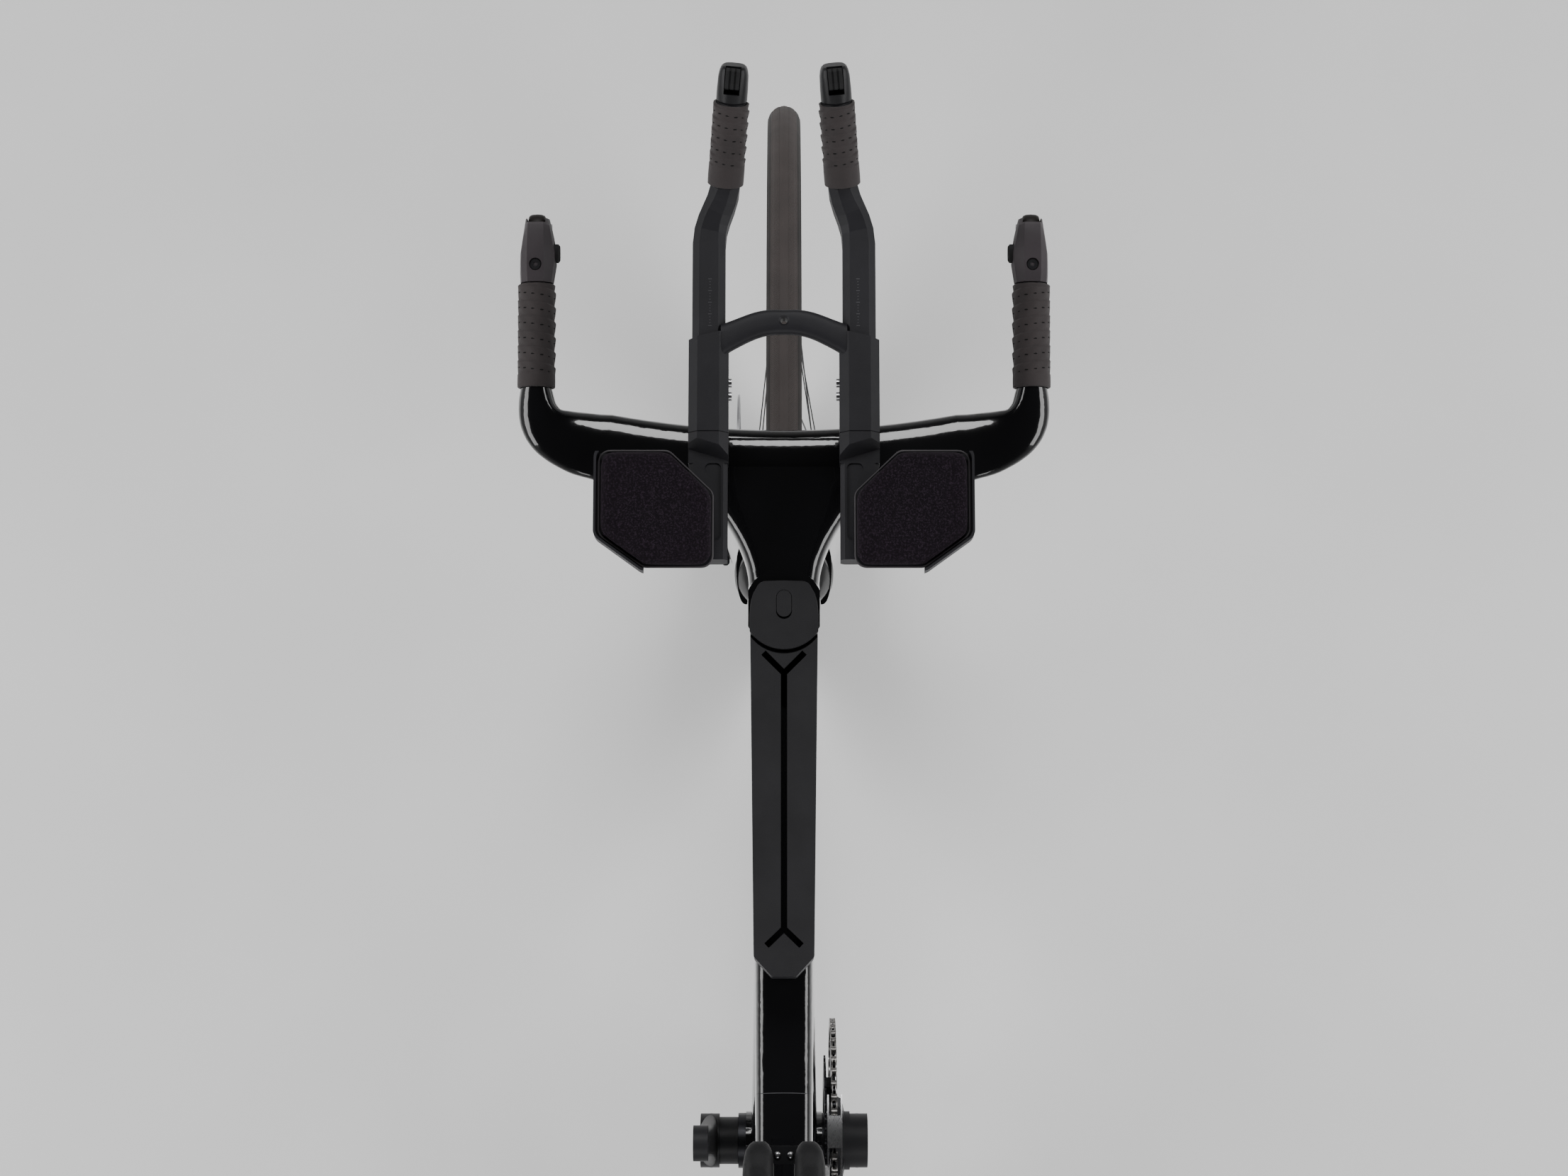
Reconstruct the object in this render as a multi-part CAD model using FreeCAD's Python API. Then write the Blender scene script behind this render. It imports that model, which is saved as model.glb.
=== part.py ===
import FreeCAD, Part
import math
import os

# Time trial bike. Millimetres. X points forward, Y to the rider's left, Z up.
# The origin is on the ground, half-way between the axles. The drive side is -Y.

Vector = FreeCAD.Vector
UP = Vector(0, 0, 1)
FORWARD = Vector(1, 0, 0)
LEFT = Vector(0, 1, 0)
ORIGIN = Vector(0, 0, 0)

# Fits and gaps
running_fit = 0.05
slide_gap = 0.3
seat_gap = 0.1
body_gap = 0.5

# Frame layout
wheelbase = 994.0
bottom_bracket_drop = 72.0
chainstay_length = 410.0
head_angle = 72.5
fork_offset = 44.0
axle_to_crown = 371.0
head_tube_length = 94.0
seat_angle = 79.0
top_tube_top = 772.0
seat_tube_top = 774.0

# Frame tubes: widths across Y, depths in the side view
head_tube_width = 50.0
head_tube_depth = 74.0
head_bore_radius = 21.0
top_tube_width_front = 46.0
top_tube_width_rear = 41.0
top_tube_depth = 58.0
top_tube_tail = 26.0
down_tube_width = 46.0
down_tube_depth = 72.0
seat_tube_width = 36.0
seat_tube_depth = 68.0
bottom_shell_radius = 26.0
bottom_shell_width = 68.0
bottom_shell_wall = 6.0
bearing_cup_flange = 7.0
chainstay_height = 36.0
chainstay_thickness = 12.0
seatstay_depth = 26.0
seatstay_thickness = 11.0
stay_spread = 77.0
dropout_radius = 17.0
hanger_half = 4.0
hanger_bolt_radius = 5.0
wedge_reach = 41.4
seatstay_top = 598.0
wedge_depth = 9.0

# Wheels
tyre_radius = 339.0
tyre_width = 29.0
tyre_wall = 2.6
rim_bed_radius = 314.6
rim_depth = 70.0
rim_width = 27.6
rim_nose_width = 11.0
front_spoke_count = 20
rear_spoke_count = 24
spoke_width = 2.6
spoke_thickness = 1.1
nipple_radius = 2.1
nipple_length = 10.0
valve_radius = 3.0
valve_length = 32.0
axle_radius = 6.0
front_hub_width = 100.0
rear_hub_width = 142.0
hub_shell_radius = 15.0
flange_radius = 24.0
flange_width = 7.0
front_flange_left = 24.0
front_flange_right = 31.0
rear_flange_left = 36.0
rear_flange_right = 17.0
rotor_radius = 80.0
rotor_thickness = 1.8
rotor_track = 14.0
rotor_arm_count = 6
rotor_bore = 17.0
front_rotor_side = 41.0
rear_rotor_side = 56.0

# Drivetrain
chain_pitch = 12.7
roller_radius = 3.85
roller_seat = 3.95
pin_radius = 1.75
pin_play = 0.16
plate_radius = 4.1
inner_plate_from = 1.05
inner_plate_to = 1.75
outer_plate_from = 1.9
outer_plate_to = 2.5
outer_ring_teeth = 52
inner_ring_teeth = 36
cassette_teeth = (11, 12, 13, 14, 15, 16, 17, 19, 21, 24, 27, 30)
driven_cog = 6
pulley_teeth = 11
cog_thickness = 1.6
cog_spacing = 3.55
first_cog_side = -65.0
chainring_side = first_cog_side + driven_cog * cog_spacing
chainring_gap = 7.1
chainring_thickness = 2.2
freehub_radius = 17.0
freehub_wall = 5.0
crank_length = 170.0
crank_inner_side = 58.0
crank_thickness = 15.0
crank_boss_radius = 24.0
crank_eye_radius = 15.0
pedal_thread_radius = 7.14
spindle_radius = 12.0
ring_bolt_circle = 55.0
ring_bolt_radius = 4.0
pulley_gap = 26.0
cage_length = 58.0
cage_plate_thickness = 1.6
derailleur_link_length = 45.0
swing_slope = 35.0
swing_setback = 24.0

# Fork
steerer_radius = 14.3
crown_width = 78.0
crown_depth = 50.0
crown_height = 19.0
blade_top_depth = 50.0
blade_tip_depth = 36.0
blade_thickness = 15.0
blade_top_side = 30.0
tyre_clearance = 8.0

# Cockpit
stem_rear_radius = 29.5
stem_width = 53.0
stem_top = 814.0
stem_flare_width = 150.0
stem_gap = 1.0
cap_thickness = 6.0
cap_setback = 172.0
bar_setback = 85.0
bar_centre_z = 802.0
bar_chord = 53.0
bar_thickness = 23.0
bar_taper = 0.35
bar_sweep = 12.5
horn_side = 186.0
horn_setback = 29.0
horn_rise = 9.0
horn_radius = 11.5
grip_radius = 14.4
grip_length = 80.0
grip_wraps = 6
lever_body_length = 54.0
lever_body_width = 31.0
lever_body_height = 33.0
lever_width = 13.0
lever_pin_radius = 2.0
extension_side = 55.0
extension_z = 868.0
extension_width = 24.0
extension_height = 27.0
extension_chamfer = 5.0
extension_rear_setback = 57.0
extension_bend_reach = 65.0
sleeve_width = 29.0
sleeve_height = 32.5
sleeve_chamfer = 6.5
sleeve_setback = 78.0
sleeve_length = 73.0
sleeve_end_wall = 3.0
hood_length = 21.0
sleeve_slant = 7.0
rail_length = 71.0
rail_height = 21.0
rail_width = 28.0
arch_reach = 14.0
arch_depth = 18.0
arch_thickness = 12.0
bridge_hole_radius = 2.5
pedestal_length = 44.0
pedestal_width = 21.0
tip_rise = 35.0
tip_side = 37.0
tape_radius = 13.4
tape_length = 62.0
tape_wraps = 6
pod_radius = 12.2
pod_length = 27.0
pad_thickness = 15.0
pad_bottom_z = 889.0
cradle_thickness = 3.0
cradle_lip = 9.0
cradle_rim = 3.0
cradle_wall = 1.8

# Bento box
bento_front_radius = 31.5
bento_setback = 214.0
bento_length = 252.0
bento_width_front = 50.0
bento_width_rear = 44.0
bento_top = 816.0
bento_wall = 2.4
lid_thickness = 3.6
lid_slit = 4.6

# Seatpost and saddle
seatpost_width = 25.0
seatpost_depth = 54.0
seatpost_foot_z = 600.0
seatpost_pocket_z = 525.0
seatpost_head_z = 922.0
rail_side = 22.0
rail_radius = 3.5
rail_z = 935.0
saddle_nose_reach = 9.4
saddle_length = 248.0
saddle_top = 984.0
saddle_pad_height = 26.0


# Derived places
front_axle = Vector(wheelbase / 2, 0, tyre_radius)
rear_axle = Vector(-wheelbase / 2, 0, tyre_radius)
bottom_bracket = rear_axle + Vector(
    math.sqrt(chainstay_length ** 2 - bottom_bracket_drop ** 2), 0, -bottom_bracket_drop
)
steer_up = Vector(-math.cos(math.radians(head_angle)), 0, math.sin(math.radians(head_angle)))
steer_ahead = Vector(steer_up.z, 0, -steer_up.x)
steer_foot = front_axle - steer_ahead * fork_offset
seat_up = Vector(-math.cos(math.radians(seat_angle)), 0, math.sin(math.radians(seat_angle)))
seat_ahead = Vector(seat_up.z, 0, -seat_up.x)
head_bottom = axle_to_crown + body_gap
head_top = head_bottom + head_tube_length
cap_front = front_axle.x - cap_setback
bar_centre_x = front_axle.x - bar_setback
horn_start_x = front_axle.x - horn_setback
extension_rear_x = front_axle.x - extension_rear_setback
extension_bend_x = front_axle.x + extension_bend_reach
sleeve_rear_x = front_axle.x - sleeve_setback
sleeve_front_x = sleeve_rear_x + sleeve_length
rail_front_x = sleeve_rear_x - hood_length
rail_rear_x = rail_front_x - rail_length
arch_front_x = front_axle.x + arch_reach
bento_front_x = front_axle.x - bento_setback
bento_rear_x = bento_front_x - bento_length
wedge_front = bottom_bracket.x + wedge_reach
saddle_nose_x = bottom_bracket.x + saddle_nose_reach


def steer_point(along, ahead=0.0, side=0.0):
    """Point given by its height along the steering axis, its reach ahead of it and its side."""
    return steer_foot + steer_up * along + steer_ahead * ahead + LEFT * side


def steer_height(z):
    """Height along the steering axis at which it reaches the level z."""
    return (z - steer_foot.z) / steer_up.z


def seat_point(z, ahead=0.0, side=0.0):
    """Point on the seat tube axis at the level z, moved ahead and sideways."""
    along = (z - bottom_bracket.z) / seat_up.z
    return bottom_bracket + seat_up * along + seat_ahead * ahead + LEFT * side


def unit(vector):
    """Copy of a vector at length one."""
    return vector / vector.Length


def square_to(axis):
    """Any unit vector at right angles to an axis."""
    helper = UP if abs(axis.z) < 0.9 * axis.Length else FORWARD
    return unit(axis.cross(helper))


def oval(centre, wide_dir, deep_dir, wide, deep, fullness=2.5, taper=0.0, count=24):
    """Closed smooth outline. Fullness 2 is an ellipse, more is boxier; taper narrows the tail."""
    power = 2.0 / fullness
    points = []
    for k in range(count):
        angle = 2 * math.pi * (k + 0.5) / count
        across = math.copysign(abs(math.sin(angle)) ** power, math.sin(angle))
        along = math.copysign(abs(math.cos(angle)) ** power, math.cos(angle))
        narrowing = 1 - taper * (1 - along) / 2
        points.append(centre + wide_dir * (across * narrowing * wide / 2) + deep_dir * (along * deep / 2))
    curve = Part.BSplineCurve()
    curve.interpolate(points, True)
    return Part.Wire([curve.toShape()])


def loft(wires, ruled=False):
    """Closed solid through a row of outlines."""
    return Part.makeLoft(wires, True, ruled)


def fuse(shapes):
    """One solid from overlapping solids."""
    joined = shapes[0].multiFuse(shapes[1:])
    return joined.removeSplitter()


def mirrored(shape):
    """The same shape on the other side of the bike."""
    return shape.mirror(ORIGIN, LEFT)


def both_sides(shape):
    """A left-hand shape and its right-hand twin, as separate solids."""
    return [shape, mirrored(shape)]


def rod(start, end, radius):
    """Round bar between two points."""
    return Part.makeCylinder(radius, (end - start).Length, start, end - start)


def turned(profile, centre, axis):
    """Solid of revolution from corners given as (radius, distance along the axis)."""
    direction = unit(axis)
    side = square_to(direction)
    corners = [centre + side * radius + direction * along for radius, along in profile]
    face = Part.Face(Part.makePolygon(corners + [corners[0]]))
    return face.revolve(centre, direction, 360)


def ring(centre, axis, outer, inner, length):
    """Tube with its foot at the centre, along the axis."""
    profile = [(inner, 0), (outer, 0), (outer, length), (inner, length)]
    return turned(profile, centre, axis)


def polygon(points):
    """Closed straight-sided outline."""
    return Part.makePolygon(list(points) + [points[0]])


def slab(wires, depth):
    """Plate from an outer outline and any holes, pushed along a vector."""
    face = Part.makeFace(wires, "Part::FaceMakerBullseye")
    solid = face.extrude(depth)
    return solid.Solids[0]


def circle(centre, axis, radius):
    """Round outline."""
    return Part.Wire([Part.Circle(centre, axis, radius).toShape()])


def rounded(points, radius):
    """Closed outline of straight runs with every corner rounded by an arc."""
    count = len(points)
    edges = []
    entries = []
    for k in range(count):
        corner = points[k]
        before = unit(points[k - 1] - corner)
        after = unit(points[(k + 1) % count] - corner)
        half = before.getAngle(after) / 2
        reach = radius / math.tan(half)
        middle = unit(before + after) * (radius / math.sin(half) - radius)
        entries.append((corner + before * reach, corner + middle, corner + after * reach))
    for k in range(count):
        start, middle, end = entries[k]
        edges.append(Part.Arc(start, middle, end).toShape())
        edges.append(Part.LineSegment(end, entries[(k + 1) % count][0]).toShape())
    return Part.Wire(edges)


def inset(points, distance):
    """Corners of a convex outline, drawn in by a distance, in the XY plane."""
    count = len(points)
    middle = ORIGIN
    for point in points:
        middle = middle + point / count
    moved = []
    for k in range(count):
        here = points[k]
        first = unit(here - points[k - 1])
        second = unit(points[(k + 1) % count] - here)
        normals = []
        for run in (first, second):
            normal = Vector(-run.y, run.x, 0)
            if normal.dot(middle - here) < 0:
                normal = normal * -1
            normals.append(normal)
        bisector = normals[0] + normals[1]
        moved.append(here + bisector * (distance / (1 + normals[0].dot(normals[1]))))
    return moved


def octagon(centre, wide_dir, high_dir, wide, high, chamfer):
    """Box outline with cut corners."""
    half_wide = wide / 2
    half_high = high / 2
    corners = [
        (half_wide, half_high - chamfer), (half_wide - chamfer, half_high),
        (chamfer - half_wide, half_high), (-half_wide, half_high - chamfer),
        (-half_wide, chamfer - half_high), (chamfer - half_wide, -half_high),
        (half_wide - chamfer, -half_high), (half_wide, chamfer - half_high),
    ]
    return polygon([centre + wide_dir * across + high_dir * up for across, up in corners])


def solids_of(shapes):
    """Flat list of the solids in a list of shapes."""
    found = []
    for shape in shapes:
        found.extend(shape.Solids)
    return found


def make_top_tube():
    """Flat-topped aero top tube from the head tube back over the seat tube, with a rounded end."""
    middle = top_tube_top - top_tube_depth / 2
    front_x = steer_point(head_top).x - 4
    rear_x = seat_point(seat_tube_top).x - seatpost_depth / 2 - top_tube_tail
    wires = []
    for share in (0.0, 0.5, 1.0):
        x = front_x + (rear_x - front_x) * share
        width = top_tube_width_front + (top_tube_width_rear - top_tube_width_front) * share
        wires.append(oval(Vector(x, 0, middle), LEFT, UP, width, top_tube_depth, 5.0))
    half = top_tube_width_front / 2 + 1
    foot = top_tube_top - 2 * top_tube_depth
    end_shape = slab([rounded([
        Vector(rear_x - 0.5, -half, foot), Vector(front_x + 2 * half, -half, foot),
        Vector(front_x + 2 * half, half, foot), Vector(rear_x - 0.5, half, foot),
    ], half * 0.95)], UP * (3 * top_tube_depth))
    return loft(wires).common(end_shape)


def make_head_tube():
    """Aero head tube around the steering axis."""
    wires = []
    for along in (head_bottom, head_top):
        centre = steer_point(along, -4)
        wires.append(oval(centre, LEFT, steer_ahead, head_tube_width, head_tube_depth, 2.3, 0.1))
    return loft(wires)


def make_down_tube():
    """Deep down tube from the head tube to the bottom bracket, clear of the front wheel."""
    top = steer_point(head_bottom + head_tube_length * 0.42, -46)
    foot = bottom_bracket + Vector(4, 0, 14)
    along = unit(foot - top)
    across = Vector(-along.z, 0, along.x)
    wires = []
    for share, width in ((0.0, 1.0), (0.5, 1.0), (1.0, 1.2)):
        centre = top + (foot - top) * share
        wires.append(oval(centre, LEFT, across, down_tube_width * width, down_tube_depth, 2.6, -0.15))
    return loft(wires)


def make_seat_tube():
    """Seat tube from the bottom bracket up to the seatpost clamp."""
    wires = []
    for z, wide, deep in (
        (bottom_bracket.z + 6, 1.35, 0.92), (bottom_bracket.z + 150, 1.0, 0.94),
        (bottom_bracket.z + 340, 1.0, 1.05), (seat_tube_top - 20, 1.1, 1.15),
    ):
        width = seat_tube_width * wide
        wires.append(oval(seat_point(z), LEFT, seat_ahead, width, seat_tube_depth * deep, 2.7, 0.1))
    return loft(wires)


def seatpost_solid(foot_z, head_z, play):
    """Straight aero seatpost section between two levels, grown by a play."""
    width = seatpost_width + 2 * play
    depth = seatpost_depth + 2 * play
    wires = []
    for z in (foot_z, head_z):
        wires.append(oval(seat_point(z), LEFT, seat_ahead, width, depth, 2.6, 0.15))
    return loft(wires)


def wedge_region(gap):
    """Space on top of the tube, behind a curved seam, that the seatpost clamp cover fills."""
    floor = top_tube_top - wedge_depth + gap
    front = wedge_front - gap
    back = seat_point(seat_tube_top).x - seatpost_depth
    half = top_tube_width_front
    bow = 3.0
    edges = [
        Part.Arc(
            Vector(front - bow, half, floor), Vector(front, 0, floor), Vector(front - bow, -half, floor)
        ),
        Part.LineSegment(Vector(front - bow, -half, floor), Vector(back, -half, floor)),
        Part.LineSegment(Vector(back, -half, floor), Vector(back, half, floor)),
        Part.LineSegment(Vector(back, half, floor), Vector(front - bow, half, floor)),
    ]
    outline = Part.Wire([edge.toShape() for edge in edges])
    return slab([outline], UP * (wedge_depth * 4))


def make_front_triangle():
    """Bonded main frame: head, top, down and seat tubes and the bottom bracket shell."""
    shell = rod(
        bottom_bracket - LEFT * (bottom_shell_width / 2),
        bottom_bracket + LEFT * (bottom_shell_width / 2), bottom_shell_radius,
    )
    body = fuse([make_top_tube(), make_head_tube(), make_down_tube(), make_seat_tube(), shell])
    stem_turning_space = rod(
        steer_point(head_top), steer_point(head_top + head_tube_length), bento_front_radius
    )
    head_bore = rod(steer_point(head_bottom - 30), steer_point(head_top + 30), head_bore_radius)
    shell_bore = rod(
        bottom_bracket - LEFT * bottom_shell_width, bottom_bracket + LEFT * bottom_shell_width,
        bottom_shell_radius - bottom_shell_wall,
    )
    post_pocket = seatpost_solid(seatpost_pocket_z, seat_tube_top + 60, slide_gap)
    cuts = [stem_turning_space, head_bore, shell_bore, post_pocket, wedge_region(0.0)]
    return body.cut(cuts)


def make_wedge():
    """Cover of the seatpost clamp, flush with the top tube behind the seam."""
    crown = wedge_region(seat_gap).common(make_top_tube())
    return crown.cut(seatpost_solid(seatpost_pocket_z, seat_tube_top + 60, slide_gap))


def dropout_disc(side):
    """Round dropout boss at the rear axle on one side."""
    inner = rear_hub_width / 2 + body_gap
    outer = stay_spread + chainstay_thickness / 2
    centre = Vector(rear_axle.x, side * inner, rear_axle.z)
    return Part.makeCylinder(dropout_radius, outer - inner, centre, LEFT * side)


def make_stay(side):
    """One chainstay and one seatstay with their dropout."""
    inner_face = rear_hub_width / 2 + body_gap
    end_side = side * (inner_face + chainstay_thickness / 2)
    foot = bottom_bracket
    reach = rear_axle - foot
    tall = chainstay_height
    chain_rows = (
        (0.05, 20.0, 12.0, 1.0), (0.20, 27.0, 11.5, 1.0), (0.50, 47.0, 14.0, 0.85),
        (0.83, 73.5, chainstay_thickness, 0.75), (0.99, abs(end_side), chainstay_thickness, 0.7),
    )
    wires = []
    for share, at_side, thick, height in chain_rows:
        centre = foot + reach * share + LEFT * (side * at_side)
        wires.append(oval(centre, LEFT, UP, thick, tall * height, 3.0))
    chainstay = loft(wires)
    top = seat_point(seatstay_top, -10)
    drop = Vector(rear_axle.x + 2, 0, rear_axle.z + 6)
    along = unit(drop - top)
    across = Vector(-along.z, 0, along.x)
    seat_rows = (
        (0.0, 12.0, 13.0, 1.3), (0.16, 24.0, 11.0, 1.15), (0.5, 52.0, seatstay_thickness, 0.95),
        (0.80, 74.5, seatstay_thickness, 0.85), (0.99, abs(end_side), seatstay_thickness, 0.85),
    )
    wires = []
    for share, at_side, thick, depth in seat_rows:
        centre = top + (drop - top) * share + LEFT * (side * at_side)
        wires.append(oval(centre, LEFT, across, thick, seatstay_depth * depth, 3.0))
    seatstay = loft(wires)
    return fuse([chainstay, seatstay, dropout_disc(side)])


def hanger_point():
    """Centre of the rear derailleur bolt, below and behind the rear axle on the drive side."""
    return rear_axle + Vector(-7, -(rear_hub_width / 2 + body_gap + chainstay_thickness / 2), -28)


def make_hanger():
    """Derailleur hanger lug under the drive-side dropout."""
    bolt = hanger_point()
    plate = [
        bolt + Vector(-9, 0, -8), bolt + Vector(9, 0, -8), bolt + Vector(17, 0, 24), bolt + Vector(-5, 0, 24),
    ]
    outline = rounded([point + LEFT * hanger_half for point in plate], 5.0)
    return slab([outline], LEFT * (-2 * hanger_half))


def make_rear_triangle(front_triangle):
    """Chainstays, seatstays, dropouts and hanger, bonded to the main frame."""
    left = make_stay(1)
    right = fuse([make_stay(-1), make_hanger()])
    axle_bore = rod(
        rear_axle - LEFT * rear_hub_width, rear_axle + LEFT * rear_hub_width, axle_radius + seat_gap
    )
    hanger_bore = rod(hanger_point() - LEFT * 20, hanger_point() + LEFT * 20, hanger_bolt_radius + slide_gap)
    shell_bore = rod(
        bottom_bracket - LEFT * bottom_shell_width, bottom_bracket + LEFT * bottom_shell_width,
        bottom_shell_radius - bottom_shell_wall,
    )
    post_pocket = seatpost_solid(seatpost_pocket_z, seat_tube_top + 60, slide_gap)
    stays = []
    for stay in (left, right):
        trimmed = stay.cut([front_triangle, axle_bore, hanger_bore, shell_bore, post_pocket])
        largest = max(trimmed.Solids, key=lambda solid: solid.Volume)
        stays.append(largest)
    return stays


def make_rear_axle():
    """Rear through axle with its drive-side nut head."""
    side = stay_spread + chainstay_thickness / 2 + 1
    shaft = rod(rear_axle - LEFT * side, rear_axle + LEFT * side, axle_radius)
    head = turned([(0, 0), (8.5, 0), (8.5, 3), (6.5, 5), (0, 5)], rear_axle + LEFT * side, LEFT)
    key = slab([hexagon(rear_axle + LEFT * (side + 6), LEFT, 3.0)], LEFT * -5)
    return fuse([shaft, head]).cut(key)


def hexagon(centre, axis, across):
    """Six-sided outline, for key sockets; across is the half width over the flats."""
    side = square_to(axis)
    other = unit(axis).cross(side)
    corner = across / math.cos(math.pi / 6)
    points = []
    for k in range(6):
        angle = k * math.pi / 3
        points.append(centre + side * (corner * math.cos(angle)) + other * (corner * math.sin(angle)))
    return polygon(points)


def make_bottom_bracket():
    """Two bearing cups in the shell, around the crank spindle."""
    cups = []
    seat = bottom_shell_radius - bottom_shell_wall - seat_gap
    bore = spindle_radius + running_fit
    flange = bottom_shell_radius - 1.5
    profile = [
        (bore, bearing_cup_flange), (flange, bearing_cup_flange), (flange, seat_gap), (seat, seat_gap),
        (seat, -22), (seat - 3, -22), (seat - 3, -8), (bore, -8),
    ]
    for side in (1, -1):
        face = bottom_bracket + LEFT * (side * bottom_shell_width / 2)
        cups.append(turned(profile, face, LEFT * side))
    return cups


def make_headset():
    """Upper and lower headset bearings between the head tube and the steerer."""
    outer = head_bore_radius - seat_gap
    inner = steerer_radius + running_fit
    lower = ring(steer_point(head_bottom), steer_up, outer, inner, 9)
    upper = ring(steer_point(head_top - 9), steer_up, outer, inner, 9)
    return [lower, upper]


def make_rotor(axle, side):
    """Ventilated disc: drilled braking track on curved-looking arms around a splined hub ring."""
    start = Vector(axle.x, side - rotor_thickness / 2, axle.z)
    inner_track = rotor_radius - rotor_track
    holes = []
    hole_count = rotor_arm_count * 6
    for k in range(hole_count):
        angle = 2 * math.pi * k / hole_count
        reach = rotor_radius - rotor_track / 2 + (2.6 if k % 2 else -2.6)
        spot = start + Vector(reach * math.cos(angle), 0, reach * math.sin(angle))
        holes.append(circle(spot, LEFT, 2.3))
    track = slab(
        [circle(start, LEFT, rotor_radius), circle(start, LEFT, inner_track)] + holes, LEFT * rotor_thickness
    )
    carrier = slab([circle(start, LEFT, 29), circle(start, LEFT, rotor_bore)], LEFT * rotor_thickness)
    arms = []
    for k in range(rotor_arm_count):
        angle = 2 * math.pi * k / rotor_arm_count
        lead = angle + math.radians(26)
        near = Vector(math.cos(angle), 0, math.sin(angle))
        far = Vector(math.cos(lead), 0, math.sin(lead))
        cross = Vector(-math.sin(angle), 0, math.cos(angle))
        corners = [
            start + near * 26 - cross * 5, start + far * (inner_track + 1.5) - cross * 3.2,
            start + far * (inner_track + 1.5) + cross * 3.2, start + near * 26 + cross * 5,
        ]
        arms.append(slab([polygon(corners)], LEFT * rotor_thickness))
    return fuse([track, carrier] + arms)


def make_tyre(axle):
    """Open tyre casing, round in section, hollow inside."""
    outer = tyre_width / 2
    inner = outer - tyre_wall
    centre = Vector(axle.x, 0, axle.z + tyre_radius - outer)
    sweep = math.radians(131)

    def around(radius, angle):
        return centre + Vector(0, radius * math.sin(angle), radius * math.cos(angle))

    edges = [
        Part.Arc(around(outer, -sweep), around(outer, 0), around(outer, sweep)),
        Part.LineSegment(around(outer, sweep), around(inner, sweep)),
        Part.Arc(around(inner, sweep), around(inner, 0), around(inner, -sweep)),
        Part.LineSegment(around(inner, -sweep), around(outer, -sweep)),
    ]
    face = Part.Face(Part.Wire([edge.toShape() for edge in edges]))
    return face.revolve(axle, LEFT, 360)


def make_rim(axle):
    """Deep aero rim with a bulged side, and its valve."""
    bed = rim_bed_radius
    nose = bed - rim_depth
    half = rim_width / 2

    def at(radius, side):
        return axle + Vector(0, side, radius)

    side_points = [
        (bed, half - 2.4), (bed - 18, half), (bed - 44, half - 1.6), (nose + 7, rim_nose_width / 2),
    ]
    left = Part.BSplineCurve()
    left.interpolate([at(radius, side) for radius, side in side_points])
    right = Part.BSplineCurve()
    right.interpolate([at(radius, -side) for radius, side in reversed(side_points)])
    edges = [
        left.toShape(),
        Part.Arc(at(nose + 7, rim_nose_width / 2), at(nose, 0), at(nose + 7, -rim_nose_width / 2)).toShape(),
        right.toShape(),
        Part.LineSegment(at(bed, 2.4 - half), at(bed, half - 2.4)).toShape(),
    ]
    hoop = Part.Face(Part.Wire(edges)).revolve(axle, LEFT, 360)
    angle = math.radians(250)
    outward = Vector(math.cos(angle), 0, math.sin(angle))
    foot = axle + outward * (nose - seat_gap)
    profile = [
        (0, 0), (valve_radius + 1.4, 0), (valve_radius + 1.4, 2.2), (valve_radius, 2.2),
        (valve_radius, valve_length - 9), (valve_radius - 1.0, valve_length - 9),
        (valve_radius - 1.0, valve_length), (0, valve_length),
    ]
    valve = turned(profile, foot, outward * -1)
    return [hoop, valve]


def make_spokes(axle, count, left_flange, right_flange):
    """Bladed spokes, crossed on both sides, each with its nipple at the rim."""
    solids = []
    rim_end = rim_bed_radius - rim_depth - seat_gap
    hub_end = flange_radius + spoke_width / 2 + seat_gap
    turn = math.radians(68)
    for k in range(count):
        side = 1 if k % 2 == 0 else -1
        flange = left_flange if side > 0 else -right_flange
        lead = 1 if (k // 2) % 2 == 0 else -1
        rim_angle = 2 * math.pi * k / count
        hub_angle = rim_angle + lead * turn
        at_rim = axle + Vector(rim_end * math.cos(rim_angle), side * 1.6, rim_end * math.sin(rim_angle))
        at_hub = axle + Vector(
            hub_end * math.cos(hub_angle), flange + lead * 1.7, hub_end * math.sin(hub_angle)
        )
        along = unit(at_hub - at_rim)
        flat = unit(along.cross(LEFT))
        thin = unit(along.cross(flat))
        blade_start = at_rim + along * nipple_length
        blade = loft([
            oval(blade_start, flat, thin, spoke_width, spoke_thickness, 2.0, 0.0, 12),
            oval(at_hub, flat, thin, spoke_width, spoke_thickness, 2.0, 0.0, 12),
        ])
        nipple = rod(at_rim + along * 0.6, blade_start, nipple_radius)
        solids.append(nipple.fuse(blade))
    return solids


def make_hub(axle, left_end, right_end, left_flange, right_flange, rotor_side):
    """Hub shell with two spoke flanges, a rotor seat and a bore for the through axle."""
    bore = axle_radius + running_fit
    half = flange_width / 2
    waist = hub_shell_radius
    seat = rotor_bore - seat_gap
    profile = [
        (bore, -right_end), (waist - 4, -right_end), (waist, -right_flange - half - 0.5),
        (flange_radius, -right_flange - half), (flange_radius, half - right_flange),
        (waist, half - right_flange + 3), (waist, left_flange - half - 3),
        (flange_radius, left_flange - half), (flange_radius, left_flange + half),
        (seat + 3, left_flange + half + 1.5), (seat + 3, rotor_side - rotor_thickness / 2 - seat_gap),
        (seat, rotor_side - rotor_thickness / 2 - seat_gap), (seat, rotor_side + 3.2),
        (waist - 4, rotor_side + 3.2), (waist - 4, left_end), (bore, left_end),
    ]
    return turned(profile, axle, LEFT)


def make_lockring(axle, rotor_side):
    """Rotor lockring on the hub."""
    seat = rotor_bore + 0.2
    start = axle + LEFT * (rotor_side + rotor_thickness / 2 + seat_gap)
    return ring(start, LEFT, rotor_bore + 4.5, seat, 3.0)


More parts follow.
